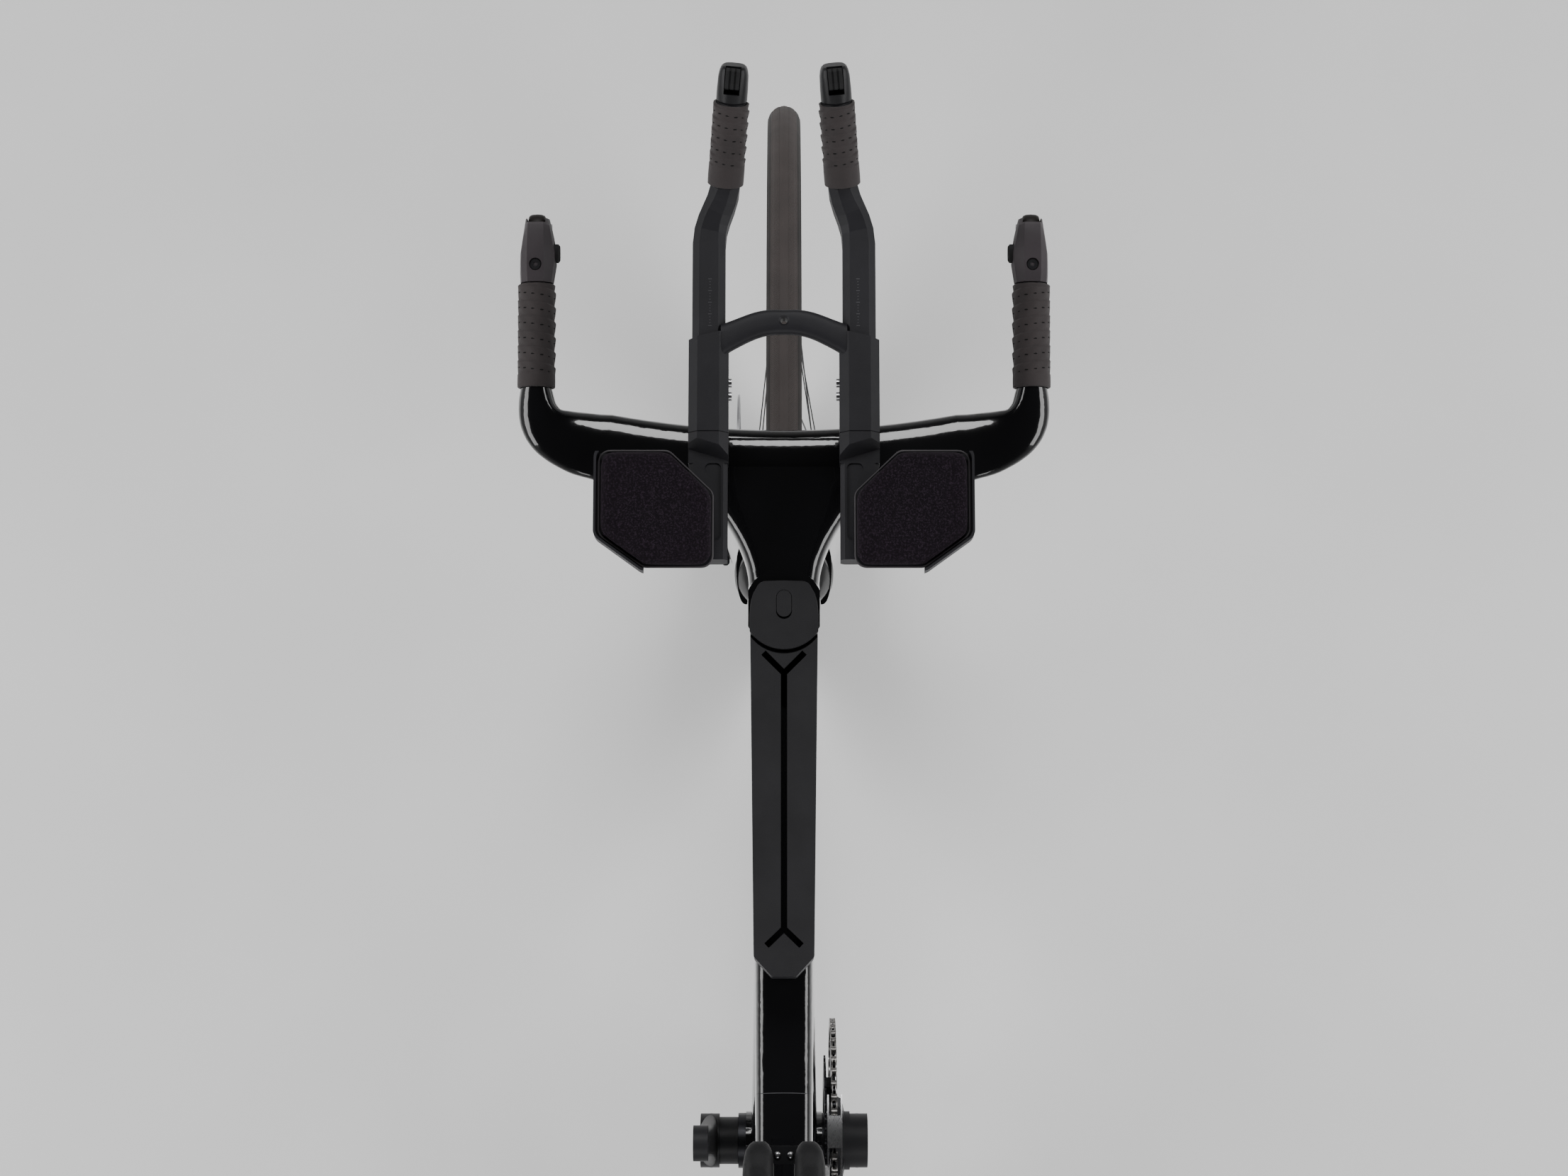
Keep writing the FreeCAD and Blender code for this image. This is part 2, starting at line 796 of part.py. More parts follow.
def pitch_radius(teeth):
    """Radius on which the chain pins ride around a toothed wheel."""
    return teeth * chain_pitch / (2 * math.pi)


def side_point(centre, radius, angle):
    """Point in the side view at a radius and an angle from forward, towards up."""
    return centre + Vector(radius * math.cos(angle), 0, radius * math.sin(angle))


def toothed_outline(centre, teeth, phase):
    """Outline of a chain wheel: a round seat for each roller and a flat-topped tooth between."""
    pitch = pitch_radius(teeth)
    tip = pitch + 3.2
    spread = math.radians(58)
    half_tooth = math.pi / teeth
    tip_half = 0.9 / tip
    edges = []
    for k in range(teeth):
        angle = phase + 2 * half_tooth * k
        seat = side_point(centre, pitch, angle)
        start = side_point(seat, roller_seat, angle + math.pi + spread)
        end = side_point(seat, roller_seat, angle + math.pi - spread)
        bottom = side_point(seat, roller_seat, angle + math.pi)
        edges.append(Part.Arc(start, bottom, end).toShape())
        rise = side_point(centre, tip, angle + half_tooth - tip_half)
        fall = side_point(centre, tip, angle + half_tooth + tip_half)
        following = side_point(centre, pitch, angle + 2 * half_tooth)
        next_start = side_point(following, roller_seat, angle + 2 * half_tooth + math.pi + spread)
        edges.append(Part.LineSegment(end, rise).toShape())
        edges.append(Part.LineSegment(rise, fall).toShape())
        edges.append(Part.LineSegment(fall, next_start).toShape())
    return Part.Wire(edges)


def belt_tangent(first, second):
    """Contact points of the straight chain run between two wheels given as (centre, signed radius)."""
    (start, start_radius), (end, end_radius) = first, second
    gap = end - start
    heading = math.atan2(gap.z, gap.x)
    lean = math.asin((start_radius - end_radius) / gap.Length)
    normal = heading - math.pi / 2 + lean
    return side_point(start, start_radius, normal), side_point(end, end_radius, normal)


def chain_wheels(cage_angle):
    """The four wheels that the chain runs round, in order, with the sense of each."""
    plane = LEFT * chainring_side
    crank_wheel = bottom_bracket + plane
    cog = rear_axle + plane
    guide = guide_centre()
    tension = side_point(guide, cage_length, cage_angle)
    return [
        (crank_wheel, pitch_radius(outer_ring_teeth)), (cog, pitch_radius(cassette_teeth[driven_cog])),
        (guide, -pitch_radius(pulley_teeth)), (tension, pitch_radius(pulley_teeth)),
    ]


def guide_centre():
    """Axis of the upper derailleur pulley, under the driven cog."""
    drop = pitch_radius(cassette_teeth[driven_cog]) + pulley_gap + pitch_radius(pulley_teeth)
    return rear_axle + Vector(10, chainring_side, -drop)


def chain_route(cage_angle):
    """Runs of the closed chain as (kind, length, data), starting at the top of the chainring."""
    wheels = chain_wheels(cage_angle)
    count = len(wheels)
    contacts = []
    for k in range(count):
        contacts.append(belt_tangent(wheels[k], wheels[(k + 1) % count]))
    route = []
    for k in range(count):
        leave, arrive = contacts[k]
        route.append(("run", (arrive - leave).Length, (leave, arrive)))
        centre, radius = wheels[(k + 1) % count]
        depart = contacts[(k + 1) % count][0]
        first = math.atan2(arrive.z - centre.z, arrive.x - centre.x)
        last = math.atan2(depart.z - centre.z, depart.x - centre.x)
        turn = (last - first) % (2 * math.pi)
        if radius < 0:
            turn -= 2 * math.pi
        route.append(("wrap", abs(turn * radius), (centre, abs(radius), first, turn)))
    return route


def route_length(cage_angle):
    """Length of the whole chain loop for one angle of the derailleur cage."""
    return sum(length for kind, length, data in chain_route(cage_angle))


def solve_cage():
    """Cage angle, as near as may be to its resting slant, that makes the loop a whole even count of links."""
    slack = math.radians(-88)
    tight = math.radians(-20)
    wanted = route_length(math.radians(-62))
    links = 2 * round(wanted / chain_pitch / 2)
    goal = links * chain_pitch
    for step in range(60):
        middle = (slack + tight) / 2
        if (route_length(middle) - goal) * (route_length(slack) - goal) > 0:
            slack = middle
        else:
            tight = middle
    return (slack + tight) / 2, links


cage_angle, link_count = solve_cage()


def chain_pins():
    """Places of the chain pins, one pitch apart along the loop."""
    route = chain_route(cage_angle)
    pins = []
    for k in range(link_count):
        travel = k * chain_pitch
        for kind, length, data in route:
            if travel > length:
                travel -= length
                continue
            if kind == "run":
                leave, arrive = data
                pins.append(leave + unit(arrive - leave) * travel)
            else:
                centre, radius, first, turn = data
                pins.append(side_point(centre, radius, first + math.copysign(travel / radius, turn)))
            break
    return pins


pins = chain_pins()


def pin_phase(centre, radius):
    """Angle of a chain pin that rides on the wheel with this centre."""
    nearest = min(pins, key=lambda pin: abs((pin - centre).Length - radius))
    return math.atan2(nearest.z - centre.z, nearest.x - centre.x)


def link_plate(start_side, end_side):
    """Waisted link plate around two pins, in the link's own frame."""
    half = chain_pitch / 2
    lean = math.radians(25)
    low = start_side

    def corner(x, direction, angle):
        return Vector(x + direction * plate_radius * -math.sin(angle), low, plate_radius * math.cos(angle))

    waist = plate_radius * 0.72
    left_top = corner(-half, -1, lean)
    right_top = corner(half, 1, lean)
    left_low = Vector(left_top.x, low, -left_top.z)
    right_low = Vector(right_top.x, low, -right_top.z)
    edges = [
        Part.Arc(left_top, Vector(0, low, waist), right_top).toShape(),
        Part.Arc(right_top, Vector(half + plate_radius, low, 0), right_low).toShape(),
        Part.Arc(right_low, Vector(0, low, -waist), left_low).toShape(),
        Part.Arc(left_low, Vector(-half - plate_radius, low, 0), left_top).toShape(),
    ]
    return slab([Part.Wire(edges)], LEFT * (end_side - start_side))


def make_inner_link():
    """Roller link: two inner plates and two bored rollers."""
    half = chain_pitch / 2
    parts = [link_plate(inner_plate_from, inner_plate_to), link_plate(-inner_plate_to, -inner_plate_from)]
    for x in (-half, half):
        parts.append(rod(Vector(x, -inner_plate_from, 0), Vector(x, inner_plate_from, 0), roller_radius))
    body = fuse(parts)
    bores = []
    for x in (-half, half):
        bores.append(rod(Vector(x, -4, 0), Vector(x, 4, 0), pin_radius + pin_play))
    return body.cut(bores)


def make_outer_link():
    """Pin link: two outer plates and two pins."""
    half = chain_pitch / 2
    parts = [link_plate(outer_plate_from, outer_plate_to), link_plate(-outer_plate_to, -outer_plate_from)]
    for x in (-half, half):
        parts.append(rod(Vector(x, -outer_plate_to, 0), Vector(x, outer_plate_to, 0), pin_radius))
    return fuse(parts)


def make_chain():
    """Every link of the chain, set on its two pins."""
    templates = (make_inner_link(), make_outer_link())
    links = []
    for k in range(link_count):
        start = pins[k]
        end = pins[(k + 1) % link_count]
        heading = math.degrees(math.atan2(end.z - start.z, end.x - start.x))
        link = templates[k % 2].copy()
        link.Placement = FreeCAD.Placement((start + end) / 2, FreeCAD.Rotation(LEFT, -heading))
        links.append(link)
    return links


def make_chainrings():
    """Outer and inner chainrings on four arms, with their bolts."""
    solids = []
    for teeth, side in (
        (outer_ring_teeth, chainring_side), (inner_ring_teeth, chainring_side + chainring_gap),
    ):
        centre = bottom_bracket + LEFT * (side - chainring_thickness / 2)
        phase = 0.0
        if teeth == outer_ring_teeth:
            phase = pin_phase(bottom_bracket + LEFT * chainring_side, pitch_radius(teeth))
        holes = [circle(centre, LEFT, ring_bolt_circle - 8)]
        for angle in ring_bolt_angles():
            spot = side_point(centre, ring_bolt_circle, angle)
            holes.append(circle(spot, LEFT, ring_bolt_radius + seat_gap))
        plate = slab([toothed_outline(centre, teeth, phase)] + holes, LEFT * chainring_thickness)
        if teeth == outer_ring_teeth:
            plate = plate.cut(ring_windows(centre, pitch_radius(teeth) - 11))
        thinning = pitch_radius(teeth) - 5
        waste = (chainring_thickness - cog_thickness) / 2
        for start in (-1, chainring_thickness - waste):
            plate = plate.cut(ring(centre + LEFT * start, LEFT, thinning + 20, thinning, waste + 1))
        solids.append(plate)
    for angle in ring_bolt_angles():
        spot = side_point(bottom_bracket, ring_bolt_circle, angle)
        outer = chainring_side - chainring_thickness / 2
        length = chainring_gap + chainring_thickness
        shank = rod(spot + LEFT * outer, spot + LEFT * (outer + length), ring_bolt_radius)
        head = rod(spot + LEFT * (outer - 1.6), spot + LEFT * (outer - seat_gap), ring_bolt_radius + 1.6)
        neck = rod(spot + LEFT * (outer - 1), spot + LEFT * (outer + 1), ring_bolt_radius)
        solids.append(fuse([shank, head, neck]))
    return solids


def ring_bolt_angles():
    """Directions of the four chainring arms, uneven in pairs."""
    return [math.radians(angle) for angle in (35, 145, 215, 325)]


def ring_windows(centre, outer):
    """Four curved openings between the arms of the outer chainring."""
    inner = ring_bolt_circle + ring_bolt_radius + 6
    windows = []
    for first, last in ((52, 128), (162, 198), (232, 308), (342, 378)):
        windows.append(sector(centre - LEFT * 2, first, last, inner, outer, chainring_thickness + 4))
    return windows


def crank_arm(side, heading):
    """Crank arm from its boss to the pedal eye; heading is 1 for up and -1 for down."""
    inner = crank_inner_side
    wires = []
    for share, wide, thick, out in (
        (0.0, 2 * crank_boss_radius, crank_thickness, 0.0), (0.3, 33.0, crank_thickness, 2.5),
        (0.8, 26.0, crank_thickness - 2, 5.0), (1.0, 25.0, crank_thickness - 2.5, 6.0),
    ):
        middle = side * (inner + out + thick / 2)
        centre = bottom_bracket + UP * (heading * crank_length * share) + LEFT * middle
        wires.append(oval(centre, FORWARD, LEFT, wide, thick, 3.2))
    arm = loft(wires)
    boss = Part.makeCylinder(
        crank_boss_radius, crank_thickness + 2, bottom_bracket + LEFT * (side * inner), LEFT * side
    )
    eye_centre = bottom_bracket + UP * (heading * crank_length) + LEFT * (side * (inner + 6.0))
    eye = Part.makeCylinder(crank_eye_radius, crank_thickness - 2.5, eye_centre, LEFT * side)
    thread = Part.makeCylinder(pedal_thread_radius, 60, eye_centre - LEFT * (side * 20), LEFT * side)
    return fuse([arm, boss, eye]).cut(thread)


def make_drive_crank():
    """Drive-side crank with its dished spider arms, and the spindle pressed into it."""
    inboard = chainring_side + chainring_gap - chainring_thickness / 2 - seat_gap
    outboard = chainring_side + chainring_thickness / 2 + seat_gap
    hub_face = -bottom_shell_width / 2 - bearing_cup_flange - 5
    back = -crank_inner_side
    rim = ring_bolt_circle + 8
    dish = [
        (14, back + 3), (14, hub_face + 0.6), (28, hub_face + 0.6), (38, inboard), (rim, inboard),
        (rim, outboard), (46, outboard), (40, outboard - 9), (crank_boss_radius - 3, back + 3),
    ]
    half_width = 7.5
    spider = []
    for angle in ring_bolt_angles():
        along = Vector(math.cos(angle), 0, math.sin(angle))
        cross = Vector(-math.sin(angle), 0, math.cos(angle)) * half_width
        corners = [bottom_bracket + along * radius + LEFT * side - cross for radius, side in dish]
        spider.append(slab([polygon(corners)], cross * 2))
    hub = rod(bottom_bracket + LEFT * hub_face, bottom_bracket + LEFT * (back - 1), crank_boss_radius + 2)
    collar_face = -bottom_shell_width / 2 - bearing_cup_flange - slide_gap
    collar_end = hub_face - 1
    collar = rod(bottom_bracket + LEFT * collar_face, bottom_bracket + LEFT * collar_end, spindle_radius + 4)
    spindle_foot = bottom_bracket + LEFT * (back - crank_thickness / 2)
    spindle_end = bottom_bracket + LEFT * (crank_inner_side + crank_thickness + 1)
    spindle = rod(spindle_foot, spindle_end, spindle_radius)
    body = fuse([crank_arm(-1, -1), hub, collar] + spider)
    holes = [rod(spindle_foot - LEFT * seat_gap, spindle_end, spindle_radius + seat_gap)]
    for angle in ring_bolt_angles():
        spot = side_point(bottom_bracket, ring_bolt_circle, angle)
        holes.append(rod(spot - LEFT * 90, spot, ring_bolt_radius + seat_gap))
    return [body.cut(holes), spindle]


def make_left_crank():
    """Left crank, clamped on the spindle by its split boss."""
    start = bottom_shell_width / 2 + bearing_cup_flange + slide_gap
    end = crank_inner_side + 1
    collar = rod(bottom_bracket + LEFT * start, bottom_bracket + LEFT * end, crank_boss_radius - 3)
    bore = rod(bottom_bracket, bottom_bracket + LEFT * 200, spindle_radius + seat_gap)
    slot_width = 2.0
    slot_centre = bottom_bracket + Vector(0, crank_inner_side + crank_thickness / 2, -crank_boss_radius)
    slot = Part.makeBox(slot_width, 40, 26, slot_centre - Vector(slot_width / 2, 20, 12))
    return fuse([crank_arm(1, 1), collar]).cut([bore, slot])


def make_cassette():
    """Twelve cogs with spacers, on the freehub body, with a lockring."""
    solids = []
    bore = freehub_radius + seat_gap
    for k, teeth in enumerate(cassette_teeth):
        side = first_cog_side + k * cog_spacing
        centre = rear_axle + LEFT * (side - cog_thickness / 2)
        phase = 0.0
        if k == driven_cog:
            phase = pin_phase(rear_axle + LEFT * chainring_side, pitch_radius(teeth))
        cog = slab([toothed_outline(centre, teeth, phase), circle(centre, LEFT, bore)], LEFT * cog_thickness)
        gap = cog_spacing - cog_thickness - 0.02
        spacer = ring(centre + LEFT * cog_thickness, LEFT, freehub_radius + 3.0, bore, gap)
        solids.append(cog)
        solids.append(spacer)
    start = first_cog_side - cog_thickness / 2
    inner = axle_radius + running_fit
    outer_end = start - 2.6
    body = ring(rear_axle + LEFT * outer_end, LEFT, freehub_radius, inner, freehub_inner_side() - outer_end)
    solids.append(body)
    lock = turned(
        [(bore, 0), (freehub_radius + 2.6, 0), (freehub_radius + 2.6, -1.6), (bore, -1.6)],
        rear_axle + LEFT * (start - 0.05), LEFT,
    )
    solids.append(lock)
    return solids


def freehub_inner_side():
    """Inboard end of the freehub body, which the hub shell stops short of."""
    return first_cog_side + len(cassette_teeth) * cog_spacing - cog_thickness + 1.5


def make_pulley(centre):
    """Derailleur pulley with round windows and a bored hub."""
    low = centre - LEFT * (cog_thickness / 2)
    phase = pin_phase(centre, pitch_radius(pulley_teeth))
    holes = [circle(low, LEFT, 3.0 + running_fit)]
    for k in range(5):
        holes.append(circle(side_point(low, 10.5, 2 * math.pi * k / 5), LEFT, 2.4))
    wheel = slab([toothed_outline(low, pulley_teeth, phase)] + holes, LEFT * cog_thickness)
    hub = ring(centre - LEFT * 2.6, LEFT, 6.0, 3.0 + running_fit, 5.2)
    return fuse([wheel, hub])


def tension_centre():
    """Axis of the lower derailleur pulley."""
    return side_point(guide_centre(), cage_length, cage_angle)


def cage_plate(side):
    """One slim cage plate between the two pulley bolts, on a plane across Y."""
    guide = guide_centre()
    tension = tension_centre()
    along = unit(tension - guide)
    cross = Vector(-along.z, 0, along.x)
    offset = LEFT * side
    corners = [
        guide - along * 8 - cross * 8, guide - along * 8 + cross * 8,
        tension + along * 8 + cross * 7, tension + along * 8 - cross * 7,
    ]
    window = [
        guide + along * 13 - cross * 3.6, guide + along * 13 + cross * 3.6,
        tension - along * 13 + cross * 3.2, tension - along * 13 - cross * 3.2,
    ]
    outer = rounded([corner + offset for corner in corners], 6.0)
    inner = rounded([corner + offset for corner in window], 3.0)
    return slab([outer, inner], LEFT * cage_plate_thickness)


def make_cage():
    """Pulley cage: two plates, the two pulley bolts and the pivot stub."""
    half = 4.2
    inner = cage_plate(half)
    outer = cage_plate(-half - cage_plate_thickness)
    bolts = []
    for centre in (guide_centre(), tension_centre()):
        bolts.append(rod(centre - LEFT * (half + 1), centre + LEFT * (half + 1), 3.0))
    stub_start = guide_centre() - LEFT * (half + cage_plate_thickness - 0.2)
    stub = rod(stub_start, guide_centre() - LEFT * knuckle_far(), 5.0)
    return fuse([inner, outer, stub] + bolts)


def knuckle_near():
    """Distance from the chain plane to the near face of the lower derailleur knuckle."""
    return 4.2 + cage_plate_thickness + body_gap


def knuckle_far():
    """Distance from the chain plane to the far face of the lower derailleur knuckle."""
    return knuckle_near() + 18.0


swing_axis = Vector(0, math.cos(math.radians(90 - swing_slope)), math.sin(math.radians(90 - swing_slope)))


def lower_pivots():
    """Middles of the two swing pins on the lower knuckle."""
    middle = guide_centre() - LEFT * (knuckle_near() + 11) - FORWARD * swing_setback
    across = Vector(0, -swing_axis.z, swing_axis.y)
    return [middle + across * 8, middle - across * 8]


def upper_pivots():
    """Middles of the two swing pins on the upper knuckle, one link length behind the lower ones."""
    return [pivot - FORWARD * derailleur_link_length for pivot in lower_pivots()]


link_half = 5.0
lug_half = 9.0


def make_swing_links():
    """The two parallel derailleur links, each with an eye at both ends."""
    links = []
    for front, rear in zip(lower_pivots(), upper_pivots()):
        across = unit(swing_axis.cross(FORWARD))
        low = swing_axis * -link_half
        corners = [
            rear - FORWARD * 5 - across * 4.6, front + FORWARD * 5 - across * 4.6,
            front + FORWARD * 5 + across * 4.6, rear - FORWARD * 5 + across * 4.6,
        ]
        plate = slab([rounded([corner + low for corner in corners], 4.4)], swing_axis * (2 * link_half))
        bores = []
        for eye in (front, rear):
            bores.append(rod(eye + low * 2, eye - low * 2, 2.0 + running_fit))
        links.append(plate.cut(bores))
    return links


def fork_lugs(pivots, reach):
    """Two lugs either side of each link eye, and the pin through them."""
    across = unit(swing_axis.cross(FORWARD))
    parts = []
    for end in (1, -1):
        near = swing_axis * (end * (link_half + body_gap))
        corners = []
        for pivot, outward in zip(pivots, (1, -1)):
            sideways = across * (outward * 5.5)
            if (pivots[0] - pivots[1]).dot(across) < 0:
                sideways = sideways * -1
            corners.append(pivot + sideways)
        first, second = corners
        back = near + (FORWARD * -6 if reach > 0 else FORWARD * 6)
        ahead = near + FORWARD * reach
        outline = rounded([first + back, first + ahead, second + ahead, second + back], 3.5)
        parts.append(slab([outline], swing_axis * (end * (lug_half - link_half - body_gap))))
    for pivot in pivots:
        parts.append(rod(pivot - swing_axis * lug_half, pivot + swing_axis * lug_half, 2.0))
    return parts


def make_lower_knuckle():
    """Lower derailleur knuckle: lugs for the links and the round spring housing of the cage pivot."""
    guide = guide_centre()
    near = guide - LEFT * knuckle_near()
    far = guide - LEFT * knuckle_far()
    housing = rod(near, far, 13.0)
    lugs = fork_lugs(lower_pivots(), 10.0)
    middle = (lower_pivots()[0] + lower_pivots()[1]) / 2
    neck = Part.makeBox(10, 22, 17, middle + Vector(6.5, -11, -8.5))
    bore = rod(guide, far - LEFT * 1, 5.0 + running_fit)
    return fuse([housing, neck] + lugs).cut(bore)


def make_upper_knuckle():
    """Upper derailleur knuckle: lugs for the links, a cranked arm and the bolt into the hanger."""
    bolt = hanger_point()
    outer = bolt - LEFT * (hanger_half + slide_gap)
    lugs = fork_lugs(upper_pivots(), -9.0)
    middle = (upper_pivots()[0] + upper_pivots()[1]) / 2
    across = unit(swing_axis.cross(FORWARD))
    low = middle - swing_axis * lug_half
    web = slab([polygon([
        low - FORWARD * 6.5 - across * 13, low - FORWARD * 17 - across * 11,
        low - FORWARD * 17 + across * 11, low - FORWARD * 6.5 + across * 13,
    ])], swing_axis * (2 * lug_half))
    eye = rod(outer, outer - LEFT * 12, 11.0)
    elbow = middle + Vector(-13, -10, 29)
    arm = loft([
        oval(bolt + Vector(-2, -hanger_half - 8, 0), LEFT, UP, 8, 18, 3.0),
        oval(elbow, LEFT, UP, 13, 16, 3.0),
    ])
    drop = loft([
        oval(elbow + UP * 7, LEFT, FORWARD, 13, 10, 3.0),
        oval(middle - FORWARD * 12, LEFT, FORWARD, 15, 10, 3.0),
    ])
    stem = rod(outer - LEFT * 1, bolt + LEFT * hanger_half, hanger_bolt_radius)
    return fuse([eye, arm, drop, web, stem] + lugs)


def blade_direction():
    """Direction of the fork blades from the front axle up to the crown, in the side view."""
    top = steer_point(axle_to_crown - crown_height + 6, 6)
    return unit(top - front_axle)


def make_blade():
    """Left fork blade with its dropout boss."""
    top = steer_point(axle_to_crown - crown_height + 6, 6)
    along = blade_direction()
    across = Vector(along.z, 0, -along.x)
    inner = front_hub_width / 2 + body_gap
    wires = []
    for share, side, thick, deep in (
        (0.0, blade_top_side, blade_thickness + 2, blade_top_depth),
        (0.3, blade_top_side + 8, blade_thickness, blade_top_depth),
        (0.75, inner + 1.5, blade_thickness - 0.5, blade_tip_depth + 5),
        (1.0, inner + blade_thickness / 2, blade_thickness, blade_tip_depth),
    ):
        centre = top + (front_axle - top) * share + LEFT * side
        wires.append(oval(centre, LEFT, across, thick, deep, 2.4, 0.2))
    boss = Part.makeCylinder(
        blade_tip_depth / 2, blade_thickness, front_axle + LEFT * inner, LEFT
    )
    return fuse([loft(wires), boss])


def make_fork():
    """Fork: steerer, crown and two aero blades, arched over the tyre."""
    wires = []
    for drop, ahead, wide, deep, fullness in (
        (0.0, 0.0, head_tube_width, head_tube_depth - 14, 2.3),
        (0.5, 3.0, crown_width * 0.86, crown_depth + 6, 2.6),
        (1.0, 5.0, crown_width, crown_depth, 3.0),
    ):
        centre = steer_point(axle_to_crown - crown_height * drop, ahead)
        wires.append(oval(centre, LEFT, steer_ahead, wide, deep, fullness))
    crown = loft(wires)
    steerer = rod(
        steer_point(axle_to_crown - 5), steer_point(steer_height(stem_top) - 5), steerer_radius
    )
    left = make_blade()
    body = fuse([crown, steerer, left, mirrored(left)])
    arch_half = blade_top_side - blade_thickness / 2 - 2
    arch = rod(
        front_axle - LEFT * arch_half, front_axle + LEFT * arch_half, tyre_radius + tyre_clearance
    )
    axle_bore = rod(
        front_axle - LEFT * front_hub_width, front_axle + LEFT * front_hub_width, axle_radius + seat_gap
    )
    return body.cut([arch, axle_bore])


def make_front_axle():
    """Front through axle with its key head."""
    side = front_hub_width / 2 + body_gap + blade_thickness + seat_gap
    shaft = rod(front_axle - LEFT * side, front_axle + LEFT * side, axle_radius)
    head = turned([(0, 0), (8.5, 0), (8.5, 2.5), (6.5, 4.5), (0, 4.5)], front_axle + LEFT * side, LEFT)
    key = slab([hexagon(front_axle + LEFT * (side + 6), LEFT, 3.0)], LEFT * -5)
    return fuse([shaft, head]).cut(key)


def make_caliper(axle, centre, along, rotor_side, half_width, foot):
    """Disc brake caliper over the rotor, with its two pads and two mounting bolts."""
    across = Vector(-along.z, 0, along.x)
    wires = []
    for reach, share in ((-31, 0.62), (-20, 1.0), (20, 1.0), (31, 0.62)):
        wires.append(
            octagon(centre + along * reach, LEFT, across, 2 * half_width, 34 * share, 6 * share)
        )
    body = loft(wires, True)
    if foot:
        body = fuse([body, foot])
    plane = Vector(axle.x, rotor_side, axle.z)
    slot_half = rotor_thickness / 2 + 2.6
    slot = rod(plane - LEFT * slot_half, plane + LEFT * slot_half, rotor_radius + 1.5)
    pads = []
    for end in (1, -1):
        near = plane + LEFT * (end * (rotor_thickness / 2 + 0.4))
        far = plane + LEFT * (end * (slot_half - 0.1))
        disc = rod(near, far, rotor_radius - 0.5)
        block = loft([
            octagon(centre + along * -14, LEFT, across, 2 * half_width, 22, 2),
            octagon(centre + along * 14, LEFT, across, 2 * half_width, 22, 2),
        ], True)
        pads.append(disc.common(block))
    return [body.cut(slot)] + pads


def make_front_caliper(fork):
    """Front caliper behind the left fork blade."""
    along = blade_direction()
    rearward = Vector(-along.z, 0, along.x)
    plane = Vector(front_axle.x, front_rotor_side, front_axle.z)
    centre = plane + along * 52 + rearward * 38
    solids = make_caliper(front_axle, centre, along, front_rotor_side, 14.0, None)
    shelf = loft([
        octagon(centre + along * -24 + LEFT * 11, LEFT, rearward, 7, 44, 2),
        octagon(centre + along * 24 + LEFT * 11, LEFT, rearward, 7, 44, 2),
    ], True)
    slot_half = rotor_thickness / 2 + 2.6
    body = fuse([solids[0], shelf]).cut([
        fork, rod(plane - LEFT * slot_half, plane + LEFT * slot_half, rotor_radius + 1.5)
    ])
    largest = max(body.Solids, key=lambda solid: solid.Volume)
    return [largest] + solids[1:]


def make_rear_caliper(stays):
    """Rear caliper on the left chainstay."""
    along = unit(bottom_bracket - rear_axle)
    upward = Vector(-along.z, 0, along.x)
    plane = Vector(rear_axle.x, rear_rotor_side, rear_axle.z)
    centre = plane + along * 58 + upward * 33
    foot = loft([
        octagon(centre + along * -24 + LEFT * 12 - upward * 17, LEFT, upward, 13, 10, 2),
        octagon(centre + along * 24 + LEFT * 12 - upward * 17, LEFT, upward, 13, 10, 2),
    ], True)
    solids = make_caliper(rear_axle, centre, along, rear_rotor_side, 11.5, foot)
    body = solids[0].cut(stays)
    largest = max(body.Solids, key=lambda solid: solid.Volume)
    return [largest] + solids[1:]


fd_inner = 112.5
fd_outer = 131.0
fd_plate = 1.2
fd_half = 5.2
fd_pivot_radius = 2.2


def fd_pivot():
    """Swing axis of the front derailleur, beside the seat tube."""
    return bottom_bracket + Vector(-25, 15.0 + chainring_side, 163)


def sector(centre, first, last, inner, outer, thickness):
    """Part of a flat ring in the side view, between two angles and two radii."""
    start = math.radians(first)
    end = math.radians(last)
    middle = (start + end) / 2
    far = [side_point(centre, outer, angle) for angle in (start, middle, end)]
    near = [side_point(centre, inner, angle) for angle in (end, middle, start)]
    edges = [
        Part.Arc(far[0], far[1], far[2]), Part.LineSegment(far[2], near[0]),
        Part.Arc(near[0], near[1], near[2]), Part.LineSegment(near[2], far[0]),
    ]
    return slab([Part.Wire([edge.toShape() for edge in edges])], LEFT * thickness)


def make_fd_cage():
    """Front derailleur cage: two curved plates, two bridges over the chain, and its swing arm."""
    inner_side = chainring_side + fd_half
    outer_side = chainring_side - fd_half - fd_plate
    near = bottom_bracket + LEFT * inner_side
    far = bottom_bracket + LEFT * outer_side
    inner = sector(near, 72, 122, fd_inner, fd_outer, fd_plate)
    outer = sector(far, 72, 122, fd_inner, fd_outer, fd_plate)
    span = inner_side + fd_plate - outer_side
    rear_bridge = sector(far, 118, 122, fd_outer - 3, fd_outer, span)
    front_bridge = sector(far, 80, 92, fd_outer - 2, fd_outer, span)
    pivot = fd_pivot()
    eye = rod(pivot - FORWARD * 5, pivot + FORWARD * 5, 5.0)
    low = bottom_bracket + Vector(-25, inner_side + fd_plate / 2, fd_outer - 6)
    arm = loft([
        oval(pivot - UP * 2, LEFT, FORWARD, 6, 9, 3.0), oval(low, LEFT, FORWARD, 2.6, 14, 3.0),
    ])
    bore = rod(pivot - FORWARD * 20, pivot + FORWARD * 20, fd_pivot_radius + running_fit)
    return fuse([inner, outer, rear_bridge, front_bridge, eye, arm]).cut(bore)


